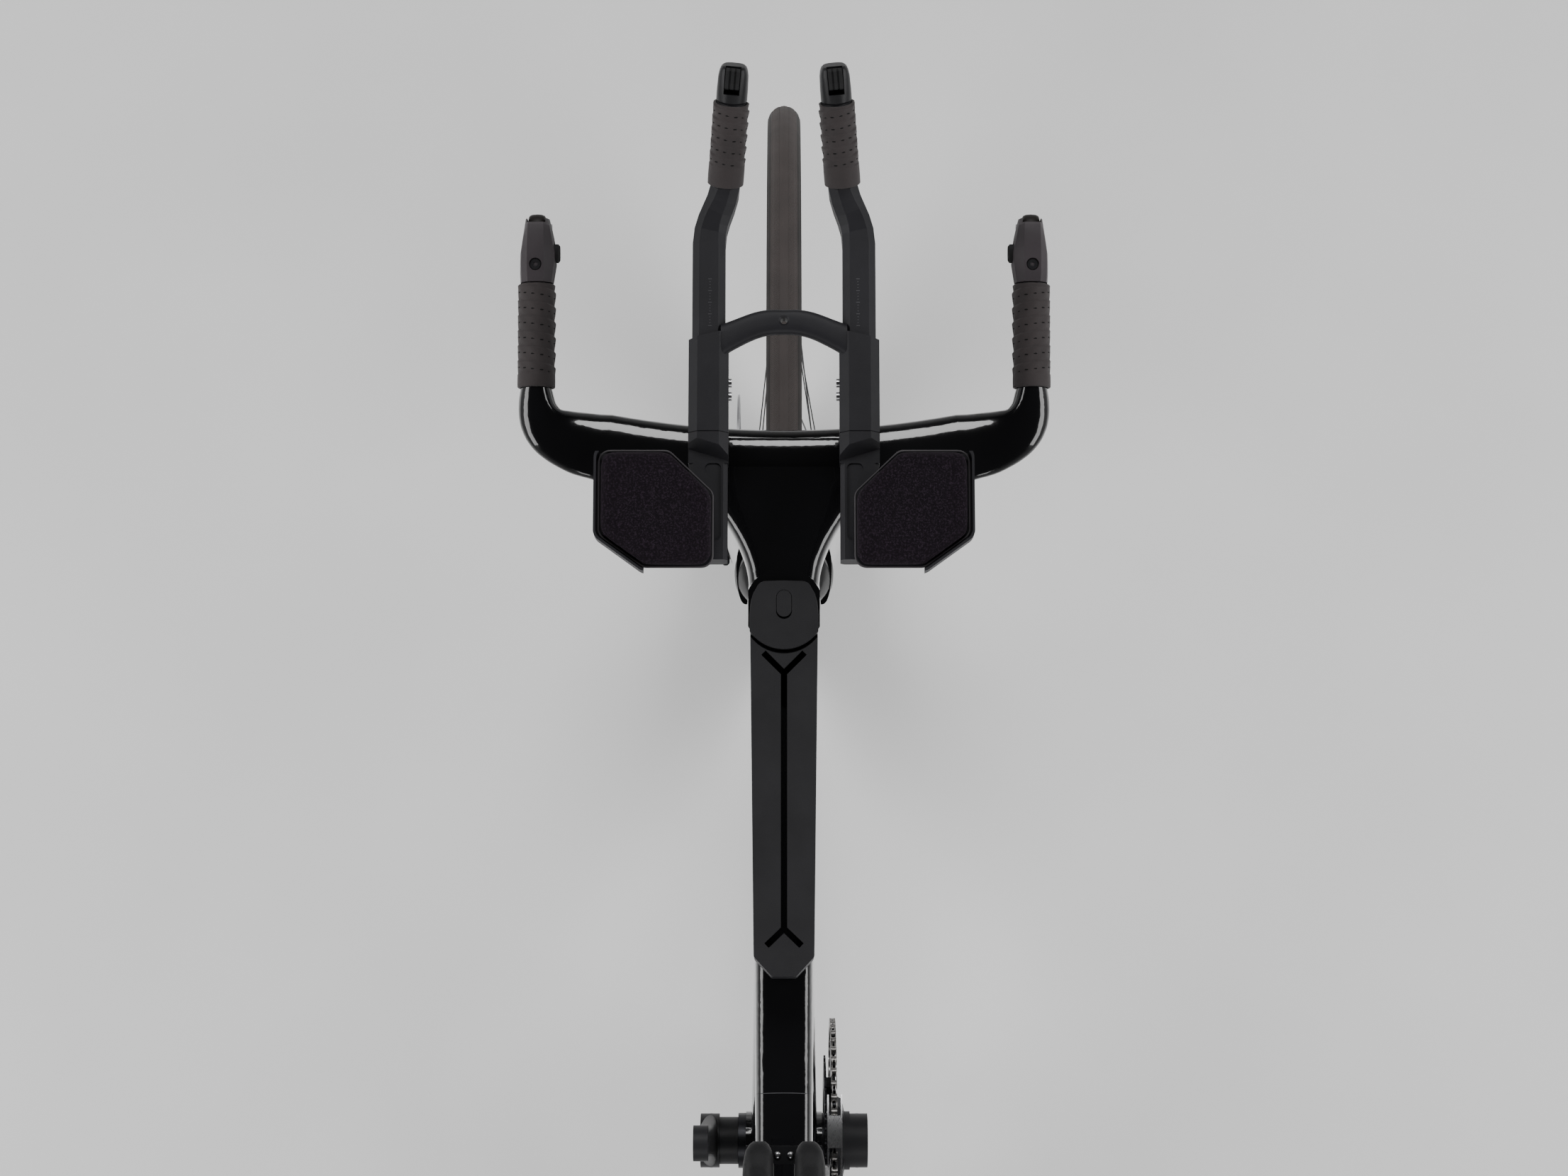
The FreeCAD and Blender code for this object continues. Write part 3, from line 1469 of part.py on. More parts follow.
def make_fd_body(front_triangle):
    """Front derailleur body on the seat tube, with the lugs and pin of the cage."""
    pivot = fd_pivot()
    parts = [rod(pivot - FORWARD * 11, pivot + FORWARD * 11, fd_pivot_radius)]
    for end in (1, -1):
        near = pivot + FORWARD * (end * (5 + body_gap))
        parts.append(Part.makeCylinder(5.5, 5, near, FORWARD * end))
        parts.append(loft([
            oval(near + FORWARD * (end * 2.5) + Vector(0, 0, 3), FORWARD, UP, 5, 10, 3.0),
            oval(near + FORWARD * (end * 2.5) + Vector(0, 15, 12), FORWARD, UP, 5, 14, 3.0),
        ]))
    back = pivot + Vector(0, 12, 14)
    parts.append(loft([
        oval(back + LEFT * 3, FORWARD, UP, 30, 30, 3.5), oval(back - LEFT * 4, FORWARD, UP, 26, 20, 3.5),
    ]))
    body = fuse(parts).cut(front_triangle)
    return max(body.Solids, key=lambda solid: solid.Volume)


def horn_direction():
    """Direction of the base bar horns, forward and slightly up."""
    return unit(Vector(grip_length, 0, horn_rise))


def horn_root():
    """Start of the taped part of the left horn."""
    return Vector(horn_start_x, horn_side, bar_centre_z + 7)


def horn_tip():
    """End of the taped part of the left horn."""
    return horn_root() + horn_direction() * grip_length


def bend(handles, share):
    """Point and heading on the smooth curve drawn by four handles, at a share of its way."""
    rest = 1 - share
    first, second, third, last = handles
    centre = (
        first * rest ** 3 + second * (3 * rest * rest * share)
        + third * (3 * rest * share * share) + last * share ** 3
    )
    heading = (
        (second - first) * (rest * rest) + (third - second) * (2 * rest * share)
        + (last - third) * (share * share)
    )
    return centre, unit(heading)


def wing_half():
    """Half width of the wing, where the horns start to turn forward."""
    return horn_side - 52


def wing_place(share):
    """Middle and heading of the wing at a share of its half width; its ends sweep forward in a bow."""
    centre = Vector(bar_centre_x + bar_sweep * share * share, wing_half() * share, bar_centre_z)
    heading = unit(Vector(2 * bar_sweep * share, wing_half(), 0))
    return centre, heading


def make_wing():
    """Middle of the base bar, with an aero section from side to side."""
    steps = 3
    wires = []
    for k in range(-steps, steps + 1):
        centre, heading = wing_place(k / steps)
        wires.append(oval(centre, UP, heading.cross(UP), bar_thickness, bar_chord, 2.1, bar_taper))
    return loft(wires)


def make_horn():
    """Left end of the base bar: the wing turns forward and narrows to the round, taped horn."""
    start, start_heading = wing_place(1.0)
    end = horn_root()
    handles = [start, start + start_heading * 42, end - FORWARD * 30, end]
    round_size = 2 * horn_radius + 1
    steps = 7
    wires = []
    for k in range(steps + 1):
        share = k / steps
        rest = 1 - share
        centre, heading = bend(handles, share)
        front = unit(heading.cross(UP))
        high = bar_thickness * rest + round_size * share
        chord = bar_chord * rest + round_size * share
        wires.append(oval(centre, UP, front, high, chord, 2.1 * rest + 2.0 * share, bar_taper * rest))
    grip_core = rod(horn_root() - horn_direction() * 2, horn_tip(), horn_radius)
    return fuse([loft(wires), grip_core])


def make_stem_neck():
    """Stem between the steerer clamp and the wing, narrow behind and flared in front."""
    rear_x = steer_point(steer_height(stem_top)).x - 2
    front_x = bar_centre_x - 4
    rear_foot = steer_point(head_top).z - 4
    front_foot = bar_centre_z - 8
    steps = 7
    wires = []
    for k in range(steps + 1):
        share = k / steps
        x = rear_x + (front_x - rear_x) * share
        flare = max(0.0, (x - cap_front) / (front_x - cap_front)) ** 1.6
        foot = rear_foot + (front_foot - rear_foot) * share
        width = stem_width + (stem_flare_width - stem_width) * flare
        wires.append(oval(Vector(x, 0, (stem_top + foot) / 2), LEFT, UP, width, stem_top - foot, 4.0))
    return loft(wires)


def make_base_bar():
    """Base bar and stem in one moulding, clamped on the steerer."""
    left = make_horn()
    low = head_top + stem_gap
    rear = rod(steer_point(low), steer_point(low + 90), stem_rear_radius)
    room = 200.0
    keep_corner = Vector(steer_point(low).x - room / 2, -stem_width / 2, stem_top - room)
    keep = Part.makeBox(room, stem_width, room, keep_corner)
    neck = make_stem_neck()
    body = fuse([make_wing(), left, mirrored(left), neck, rear.common(keep)])
    under = rod(steer_point(low - 70), steer_point(low), head_tube_depth * 0.75)
    bore = rod(steer_point(low - 20), steer_point(low + 150), steerer_radius + seat_gap)
    return body.cut([under, bore])


def make_stem_cap():
    """Matte cap on the stem, flat in front and round behind, with an oval plug."""
    low = stem_top + slide_gap
    axis_x = steer_point(steer_height(stem_top + cap_thickness / 2)).x
    half = stem_width / 2 - 1
    front = rounded([
        Vector(axis_x - 6, half, low), Vector(cap_front, half - 5, low),
        Vector(cap_front, 5 - half, low), Vector(axis_x - 6, -half, low),
    ], 5.0)
    depth = UP * (cap_thickness - slide_gap)
    round_back = rod(
        steer_point(steer_height(stem_top) - 30), steer_point(steer_height(stem_top) + 30), stem_rear_radius
    )
    layer = Part.makeBox(200, 2 * half, cap_thickness - slide_gap, Vector(axis_x - 100, -half, low))
    cap = fuse([slab([front], depth), round_back.common(layer)])
    plug_x = axis_x + 5
    hole = loft([
        oval(Vector(plug_x, 0, low - 1), LEFT, FORWARD, 11.6, 22.6, 2.0),
        oval(Vector(plug_x, 0, low + 20), LEFT, FORWARD, 11.6, 22.6, 2.0),
    ])
    plug = loft([
        oval(Vector(plug_x, 0, low), LEFT, FORWARD, 11.2, 22.2, 2.0),
        oval(Vector(plug_x, 0, low + cap_thickness - 1), LEFT, FORWARD, 11.2, 22.2, 2.0),
    ])
    return [cap.cut(hole), plug]


def wrapped_tape(start, along, length, radius, bore, wraps):
    """Bar tape as a row of overlapping turns, each thicker at its end, with a plain band last."""
    step = length / (wraps + 0.5)
    profile = [(bore, 0)]
    profile.append((radius - 0.2, 0))
    profile.append((radius - 0.2, step / 2))
    for k in range(wraps):
        begin = step * (k + 0.5)
        profile.append((radius - 1.1, begin))
        profile.append((radius, begin + step * 0.92))
        profile.append((radius - 0.5, begin + step))
    profile.append((bore, length))
    return turned(profile, start, along)


def make_grips():
    """Tape on the left base bar horn."""
    along = horn_direction()
    start = horn_root() + along * 1.5
    return wrapped_tape(start, along, grip_length - 2, grip_radius, horn_radius + seat_gap, grip_wraps)


def lever_frame():
    """Foot, length direction and upward direction of the left lever body."""
    along = horn_direction()
    upward = unit(along.cross(LEFT))
    return horn_tip() + along * 0.3, along, upward


def lever_pivot():
    """Middle of the left brake lever's pin."""
    foot, along, upward = lever_frame()
    return foot + along * (lever_body_length - 10) - upward * 3


def lever_button_spot():
    """Middle of the shift button on the inner side of the left lever body."""
    foot, along, upward = lever_frame()
    return foot + along * (lever_body_length * 0.42) - LEFT * (lever_body_width / 2) + upward * 2


def make_lever_body():
    """Left lever body: faceted housing, slotted below for the lever, with its pin and bleed screw."""
    foot, along, upward = lever_frame()
    wires = []
    for share, wide, high in ((0.0, 0.9, 0.86), (0.3, 1.0, 1.0), (0.72, 0.92, 0.94), (1.0, 0.66, 0.62)):
        wires.append(
            octagon(
                foot + along * (lever_body_length * share), LEFT, upward,
                lever_body_width * wide, lever_body_height * high, lever_body_width * wide * 0.28,
            )
        )
    body = loft(wires, True)
    pivot = lever_pivot()
    slot_half = lever_width / 2 + body_gap
    corners = [
        pivot - along * 12 + upward * 6.8, pivot + along * 14 + upward * 6.8,
        pivot + along * 14 - upward * 40, pivot - along * 12 - upward * 40,
    ]
    slot = slab([polygon([corner - LEFT * slot_half for corner in corners])], LEFT * (2 * slot_half))
    spot = lever_button_spot()
    pocket = loft([
        oval(spot + LEFT * 5.0, along, upward, 15.0, 10.0, 2.6),
        oval(spot - LEFT * 8.0, along, upward, 15.0, 10.0, 2.6),
    ])
    pin = rod(pivot - LEFT * (slot_half + 2), pivot + LEFT * (slot_half + 2), lever_pin_radius)
    seat = foot + along * (lever_body_length * 0.34) + upward * (lever_body_height / 2 - 1.2)
    counterbore = rod(seat, seat + upward * 6, 3.2)
    shell = fuse([body.cut([slot, pocket, counterbore]), pin])
    screw = rod(seat + upward * 0.1, seat + upward * 1.5, 3.0)
    return [shell, screw]


def make_shift_button():
    """Left base bar shift button, standing proud of its pocket."""
    foot, along, upward = lever_frame()
    spot = lever_button_spot()
    return loft([
        oval(spot + LEFT * 3.2, along, upward, 14.2, 9.2, 2.6),
        oval(spot - LEFT * 0.8, along, upward, 14.2, 9.2, 2.6),
        oval(spot - LEFT * 2.2, along, upward, 11.0, 6.6, 2.6),
    ], True)


def make_brake_lever():
    """Left brake lever: an eye on the pin and a blade that curves down and back under the grip."""
    pivot = lever_pivot()
    eye = rod(pivot - LEFT * (lever_width / 2), pivot + LEFT * (lever_width / 2), 5.8)
    path = [
        (Vector(1, 0, -1), 10.0, 10.0), (Vector(4, 0, -18), 12.0, 8.5), (Vector(-4, 0, -44), 13.5, 7.0),
        (Vector(-27, 0, -66), 14.0, 6.2), (Vector(-58, 0, -79), 13.0, 5.6), (Vector(-86, 0, -85), 10.0, 4.4),
    ]
    wires = []
    for k, (offset, wide, deep) in enumerate(path):
        before = path[max(k - 1, 0)][0]
        after = path[min(k + 1, len(path) - 1)][0]
        run = unit(after - before)
        wires.append(oval(pivot + offset, LEFT, Vector(run.z, 0, -run.x), wide, deep, 2.6))
    bore = rod(pivot - LEFT * 20, pivot + LEFT * 20, lever_pin_radius + running_fit)
    return fuse([eye, loft(wires)]).cut(bore)


def tip_direction():
    """Direction of the left extension's raised tip."""
    rise = math.radians(tip_rise)
    return unit(Vector(math.cos(rise), -0.08, math.sin(rise)))


def tip_root():
    """Start of the taped tip of the left extension, after its bend."""
    return Vector(extension_bend_x + 42, tip_side + 6, extension_z + 17)


def tip_frame():
    """Sideways and upward directions of the left extension's tip."""
    along = tip_direction()
    side = unit(UP.cross(along))
    return along, side, along.cross(side)


def make_extension_bar():
    """Left extension: a chamfered box section that bends in and up to a round tip."""
    rear = Vector(extension_rear_x, extension_side, extension_z)
    corner = Vector(extension_bend_x, extension_side, extension_z)
    straight = slab(
        [octagon(rear, LEFT, UP, extension_width, extension_height, extension_chamfer)], corner - rear
    )
    tip = tip_root()
    along = tip_direction()
    handles = [corner, corner + FORWARD * 20, tip - along * 18, tip]
    tip_size = 21.5
    wires = []
    steps = 5
    for k in range(steps + 1):
        share = k / steps
        rest = 1 - share
        centre, heading = bend(handles, share)
        side = unit(UP.cross(heading))
        wide = extension_width * rest + tip_size * share
        high = extension_height * rest + tip_size * share
        chamfer = extension_chamfer * rest + tip_size * 0.29 * share
        wires.append(octagon(centre, side, heading.cross(side), wide, high, chamfer))
    stub = rod(tip - along * 3, tip + along * (tape_length + 0.8), tip_size / 2 - 0.2)
    return fuse([straight, loft(wires, True), stub])


def make_extension_grip():
    """Tape on the left extension tip."""
    along = tip_direction()
    return wrapped_tape(tip_root() + along * 0.8, along, tape_length - 0.8, tape_radius, 10.75, tape_wraps)


def pod_foot():
    """Rear end of the left shifter pod."""
    return tip_root() + tip_direction() * (tape_length + 1.0)


def make_pod():
    """Left shifter pod on the end of the extension, with a recess for its button."""
    along, side, upward = tip_frame()
    foot = pod_foot()
    profile = [
        (0, 0), (pod_radius - 0.8, 0), (pod_radius, 1.2), (pod_radius, pod_length - 7),
        (pod_radius - 1.2, pod_length - 3.5), (pod_radius - 4, pod_length - 0.8),
        (pod_radius - 7, pod_length), (0, pod_length),
    ]
    body = turned(profile, foot, along)
    corners = [
        foot + along * 10 + upward * 4.5, foot + along * (pod_length - 1.8) + upward * 4.5,
        foot + along * (pod_length - 1.8) + upward * 20, foot + along * 10 + upward * 20,
    ]
    recess = slab([polygon([corner - side * 7 for corner in corners])], side * 14)
    return body.cut(recess)


def make_pod_button():
    """Left pod button: a block with three grip ribs."""
    along, side, upward = tip_frame()
    foot = pod_foot()
    low = 6.2
    start = 10.5
    end = pod_length - 2.3
    corners = [
        foot + along * start + upward * low, foot + along * end + upward * low,
        foot + along * end + upward * (low + 3.6), foot + along * (start + 4) + upward * (low + 5.6),
        foot + along * start + upward * (low + 4.6),
    ]
    block = slab([polygon([corner - side * 6.5 for corner in corners])], side * 13)
    ribs = []
    for k in range(3):
        spot = foot + along * (start + 4.2 + 3.6 * k) + upward * (low + 5.0 - 0.5 * k)
        ribs.append(rod(spot - side * 5.5, spot + side * 5.5, 0.9))
    return fuse([block] + ribs)


def sleeve_bottom():
    """Level of the underside of the extension sleeves."""
    return extension_z - sleeve_height / 2


def rail_top():
    """Level of the upper side of the armrest rails."""
    return sleeve_bottom() + rail_height


def make_sleeve():
    """Left extension clamp, its hooded end and the lower armrest rail behind it, before the bore is cut."""
    front_reach = sleeve_front_x + sleeve_slant - rail_front_x
    rear = Vector(rail_front_x, extension_side, extension_z)
    section = octagon(rear, LEFT, UP, sleeve_width, sleeve_height, sleeve_chamfer)
    clamp = slab([section], FORWARD * front_reach)
    half = sleeve_width / 2 + 1
    low = sleeve_bottom() - 1
    slant = slab([polygon([
        Vector(sleeve_front_x + sleeve_slant / 2, extension_side - half, low),
        Vector(sleeve_front_x - sleeve_slant / 2, extension_side + half, low),
        Vector(sleeve_front_x + 2 * sleeve_slant, extension_side + half, low),
        Vector(sleeve_front_x + 2 * sleeve_slant, extension_side - half, low),
    ])], UP * (sleeve_height + 2))
    scoop = loft([hood_cut(rail_top(), 0.0), hood_cut(rail_top() + sleeve_height, 22.0)], True)
    seam = 0.7
    seam_foot = Vector(sleeve_rear_x, extension_side, extension_z)
    seam_ring = slab([
        octagon(seam_foot, LEFT, UP, sleeve_width + 2, sleeve_height + 2, sleeve_chamfer),
        octagon(
            seam_foot, LEFT, UP, sleeve_width - 2 * seam, sleeve_height - 2 * seam,
            sleeve_chamfer - 0.4 * seam,
        ),
    ], FORWARD * seam)
    rail_end = Vector(rail_rear_x, extension_side, rail_top() - rail_height / 2)
    rail = slab([octagon(rail_end, LEFT, UP, rail_width, rail_height, 3.0)], FORWARD * (rail_length + 1))
    floor = rail_top() - 1.2
    inner = extension_side - 9.5
    outer = extension_side + 2.5
    rear_end = rail_rear_x + 14
    recess = slab([rounded([
        Vector(rear_end, inner, floor), Vector(rail_front_x, inner, floor),
        Vector(rail_front_x, outer, floor), Vector(rear_end, outer, floor),
    ], 4.0)], UP * 10)
    return fuse([clamp.cut([slant, scoop, seam_ring]), rail]).cut(recess)


def hood_cut(z, ahead):
    """Outline of the space behind the clamp's slanted hood at one level, moved ahead by a distance."""
    half = sleeve_width / 2 + 2
    return polygon([
        Vector(rail_front_x + 11 + ahead, extension_side + half, z),
        Vector(rail_front_x + 1 + ahead, extension_side - half, z),
        Vector(rail_front_x - 9, extension_side - half, z),
        Vector(rail_front_x - 9, extension_side + half, z),
    ])


def make_sleeve_bore():
    """Space in the left clamp that the extension slides in, closed behind by a wall."""
    foot = Vector(sleeve_rear_x + sleeve_end_wall, extension_side, extension_z)
    width = extension_width + 2 * slide_gap
    height = extension_height + 2 * slide_gap
    return slab([octagon(foot, LEFT, UP, width, height, extension_chamfer)], FORWARD * (2 * sleeve_length))


def make_arch():
    """Bridge between the clamps: level in the middle, with shoulders that run back into the clamps."""
    arch_z = extension_z + sleeve_height / 2 - arch_thickness / 2 - 1
    reach = extension_side - sleeve_width / 2 + sleeve_chamfer - 1
    shoulder = ((1.0, -14.5, 7.0), (0.75, -8.5, 3.5), (0.5, -3.4, 2.0), (0.25, -0.4, 0.6))
    left = [(reach * share, back, extra) for share, back, extra in shoulder]
    right = [(-side, back, extra) for side, back, extra in reversed(left)]
    centre_x = arch_front_x - arch_depth / 2
    return loft([
        oval(Vector(centre_x + back, side, arch_z), UP, FORWARD, arch_thickness, arch_depth + extra, 3.2)
        for side, back, extra in left + [(0.0, 0.0, 0.0)] + right
    ])


def make_bridge():
    """Both extension clamps joined in front by an arched bridge with an accessory hole."""
    left = make_sleeve()
    bore = make_sleeve_bore()
    body = fuse([left, mirrored(left), make_arch()])
    arch_top = extension_z + sleeve_height / 2 - 1
    centre = Vector(arch_front_x - arch_depth / 2, 0, arch_top)
    hole = rod(centre - UP * (2 * arch_thickness), centre + UP * arch_thickness, bridge_hole_radius)
    sink_depth = 1.5
    sink = Part.makeCone(
        bridge_hole_radius, bridge_hole_radius + 2 * sink_depth, 2 * sink_depth, centre - UP * sink_depth
    )
    return body.cut([bore, mirrored(bore), hole, sink])


def make_pedestal():
    """Left riser between the top of the base bar and the extension sleeve."""
    foot = Vector(bar_centre_x + 2, extension_side, stem_top + slide_gap)
    top = Vector(bar_centre_x + 2, extension_side, sleeve_bottom() - seat_gap)
    return loft([
        oval(foot, LEFT, FORWARD, pedestal_width, pedestal_length - 14, 2.4),
        oval((foot + top) / 2, LEFT, FORWARD, pedestal_width - 4, pedestal_length - 12, 2.4),
        oval(top, LEFT, FORWARD, pedestal_width, pedestal_length, 2.4),
    ])


def make_bolts():
    """Pinch bolts on the inner sides of both sleeves."""
    bolts = []
    face = extension_side - sleeve_width / 2 - seat_gap
    head_height = 2.2
    for x in (sleeve_front_x - 43, sleeve_front_x - 33):
        spot = Vector(x, face, extension_z - 1)
        head = rod(spot, spot - LEFT * head_height, 3.2)
        key = slab([hexagon(spot - LEFT * (head_height + 1), LEFT, 1.5)], LEFT * head_height)
        bolts.append(head.cut(key))
    return bolts


def pad_corners(z):
    """Corners of the left arm pad, seen from above."""
    inner = extension_side - 4.5
    outer = inner + 83.0
    front = rail_front_x + 5
    rear = rail_rear_x - 10
    return [
        Vector(front, outer, z), Vector(front, inner + 32, z), Vector(front - 31, inner, z),
        Vector(rear, inner, z), Vector(rear, inner + 50, z), Vector(rear + 24, outer, z),
    ]


def make_pad():
    """Left arm pad: drawn in at the base, full at the middle, rolled over to a soft crown."""
    wires = []
    for share, draw in ((0.0, 2.4), (0.28, 0.2), (0.62, 0.6), (0.88, 4.0), (1.0, 8.5)):
        z = pad_bottom_z + pad_thickness * share
        wires.append(rounded(inset(pad_corners(z), draw), 7.0))
    return loft(wires)


def make_cradle():
    """Left arm cradle under the pad, with a raised lip on its outer sides and a foot on the rail."""
    low = pad_bottom_z - cradle_thickness - seat_gap
    corners = pad_corners(low)
    tall = cradle_thickness + cradle_lip
    plate = slab([rounded(inset(corners, 1.2), 8.0)], UP * cradle_thickness)
    grown = slab([rounded(inset(corners, -cradle_rim), 9.0)], UP * tall)
    hollow_foot = inset([corner + UP * cradle_thickness for corner in corners], cradle_wall - cradle_rim)
    hollow = slab([rounded(hollow_foot, 8.0)], UP * tall)
    outer_zone = slab([polygon([
        corners[0] + Vector(-1.5, 10, -1), corners[0] + Vector(-1.5, -14, -1),
        corners[5] + Vector(2, -14, -1), corners[4] + Vector(12, 0, -1),
        corners[4] + Vector(-10, 0, -1), corners[5] + Vector(-34, 10, -1),
    ])], UP * (tall + 2))
    lip = grown.cut(hollow).common(outer_zone)
    spot = Vector((rail_rear_x + rail_front_x) / 2, extension_side + 5, 0)
    foot = loft([
        oval(spot + UP * (rail_top() + seat_gap), LEFT, FORWARD, 11, 46, 3.0),
        oval(spot + UP * (low + 1), LEFT, FORWARD, 16, 52, 3.0),
    ])
    return fuse([plate, lip, foot])


def bento_outline(z):
    """Corners of the bento box seen from above, before its hollow front is cut."""
    front = bento_front_x + 8
    return [
        Vector(front, bento_width_front / 2, z), Vector(bento_rear_x + 14, bento_width_rear / 2, z),
        Vector(bento_rear_x, 9, z), Vector(bento_rear_x, -9, z),
        Vector(bento_rear_x + 14, -bento_width_rear / 2, z), Vector(front, -bento_width_front / 2, z),
    ]


def stem_hollow(radius):
    """Column around the steering axis that the bento's front is shaped to."""
    return rod(steer_point(head_top - 60), steer_point(head_top + 160), radius)


def make_bento():
    """Storage box on the top tube, open on top under its lid."""
    low = top_tube_top + seat_gap
    outer = slab([rounded(bento_outline(low), 2.5)], UP * (bento_top - low))
    cavity = slab([rounded(inset(bento_outline(low + bento_wall), bento_wall), 2.0)], UP * 100)
    cavity = cavity.cut(stem_hollow(bento_front_radius + bento_wall))
    return outer.cut([stem_hollow(bento_front_radius), cavity])


def slit_piece(start, end):
    """One straight stretch of the lid's slit."""
    along = unit(end - start)
    cross = Vector(-along.y, along.x, 0) * (lid_slit / 2)
    reach = along * (lid_slit / 2)
    corners = [start - reach - cross, end + reach - cross, end + reach + cross, start - reach + cross]
    return slab([polygon(corners)], UP * 20)


def make_lid():
    """Rubber lid of the bento, with its long slit that forks at both ends."""
    low = bento_top + seat_gap
    plate = slab([rounded(bento_outline(low), 2.5)], UP * (lid_thickness - seat_gap))
    base = low - 5
    front = Vector(bento_front_x - 31, 0, base)
    rear = Vector(bento_rear_x + 34, 0, base)
    cuts = [slit_piece(rear, front)]
    for side in (1, -1):
        cuts.append(slit_piece(front, front + Vector(13.5, side * 13.5, 0)))
        cuts.append(slit_piece(rear, rear + Vector(-10.5, side * 11, 0)))
    return plate.cut([stem_hollow(bento_front_radius)] + cuts)


def make_seatpost():
    """Aero seatpost with a round head for the saddle clamp."""
    post = seatpost_solid(seatpost_foot_z, seatpost_head_z - 4, 0.0)
    head = seat_point(seatpost_head_z)
    barrel = rod(head - LEFT * 15, head + LEFT * 15, 15.0)
    bore = rod(head - LEFT * 40, head + LEFT * 40, 4.0 + seat_gap)
    return fuse([post, barrel]).cut(bore)


def make_saddle_clamp():
    """Two side clamps on the saddle rails and the bolt through the seatpost head."""
    head = seat_point(seatpost_head_z)
    solids = []
    for side in (1, -1):
        inner = 15.0 + seat_gap
        block = loft([
            oval(head + Vector(0, side * inner, 5), FORWARD, UP, 44, 32, 3.0),
            oval(head + Vector(0, side * (inner + 13), 7), FORWARD, UP, 40, 24, 3.0),
        ])
        rail = rod(
            Vector(head.x - 60, side * rail_side, rail_z), Vector(head.x + 60, side * rail_side, rail_z),
            rail_radius + seat_gap,
        )
        bolt_hole = rod(head, head + LEFT * (side * 60), 4.0 + seat_gap)
        solids.append(block.cut([rail, bolt_hole]))
    end = 15.0 + 13 + 3.2
    bolt = fuse([
        rod(head - LEFT * end, head + LEFT * end, 4.0),
        rod(head - LEFT * end, head - LEFT * (end + 3), 6.5),
        rod(head + LEFT * end, head + LEFT * (end + 3), 6.5),
    ])
    solids.append(bolt)
    return solids


def make_saddle_rail(side):
    """One saddle rail, straight in the clamp and rising to the shell at both ends."""
    clamp_x = seat_point(seatpost_head_z).x
    under = saddle_top - saddle_pad_height - 6
    points = [
        Vector(saddle_nose_x - 22, side * 12, under), Vector(clamp_x + 62, side * rail_side, rail_z),
        Vector(clamp_x - 40, side * rail_side, rail_z),
        Vector(saddle_nose_x - saddle_length + 26, side * 34, under),
    ]
    parts = []
    for k in range(len(points) - 1):
        parts.append(rod(points[k], points[k + 1], rail_radius))
    for point in points[1:-1]:
        parts.append(Part.makeSphere(rail_radius, point))
    rail = fuse(parts)
    ceiling = Part.makeBox(600, 200, 60, Vector(saddle_nose_x - 400, -100, under - seat_gap))
    return rail.cut(ceiling)


def make_saddle_shell():
    """Split-nose saddle base with its two rails and the two bolts of the nose bridge."""
    low = saddle_top - saddle_pad_height - 6
    thick = 5.6
    nose = saddle_nose_x - 3
    tail = saddle_nose_x - saddle_length
    half = [
        (nose, 7.5), (nose, 25.5), (nose - 105, 32), (nose - 160, 56), (nose - 200, 70),
        (tail + 4, 62), (tail + 4, 8),
    ]
    points = [Vector(x, y, low) for x, y in half] + [Vector(x, -y, low) for x, y in reversed(half)]
    plate = slab([polygon(points)], UP * thick)
    gap = slab([polygon([
        Vector(nose - 12, 7, low - 5), Vector(nose - 190, 7, low - 5),
        Vector(nose - 190, -7, low - 5), Vector(nose - 12, -7, low - 5),
    ])], UP * 30)
    shell = plate.cut(gap)
    screws = []
    for side in (1, -1):
        spot = Vector(nose - 6, side * 4.4, low + thick + seat_gap)
        screws.append(turned([(0, 0), (2.2, 0), (2.0, 1.4), (1.0, 2.0), (0, 2.0)], spot, UP))
    return [shell, make_saddle_rail(1), make_saddle_rail(-1)] + screws


def make_saddle_pad():
    """Left saddle pad: a crowned arm beside the split nose that widens towards the tail."""
    floor = saddle_top - saddle_pad_height
    rows = (
        (0.0, 17.0, 9.0, 10.0), (-5.0, 17.0, 16.5, 18.0), (-16.0, 17.0, 20.5, 22.5),
        (-60.0, 17.5, 22.5, 24.5), (-115.0, 21.5, 28.0, 25.5), (-165.0, 33.5, 50.0, 26.0),
        (-205.0, 40.0, 63.0, 25.0), (-236.0, 38.0, 58.0, 20.0), (-saddle_length, 36.0, 44.0, 11.0),
    )
    wires = []
    for back, side, wide, high in rows:
        centre = Vector(saddle_nose_x + back, side, floor + high / 2)
        wires.append(oval(centre, LEFT, UP, wide, high, 2.7, 0.0))
    return loft(wires)


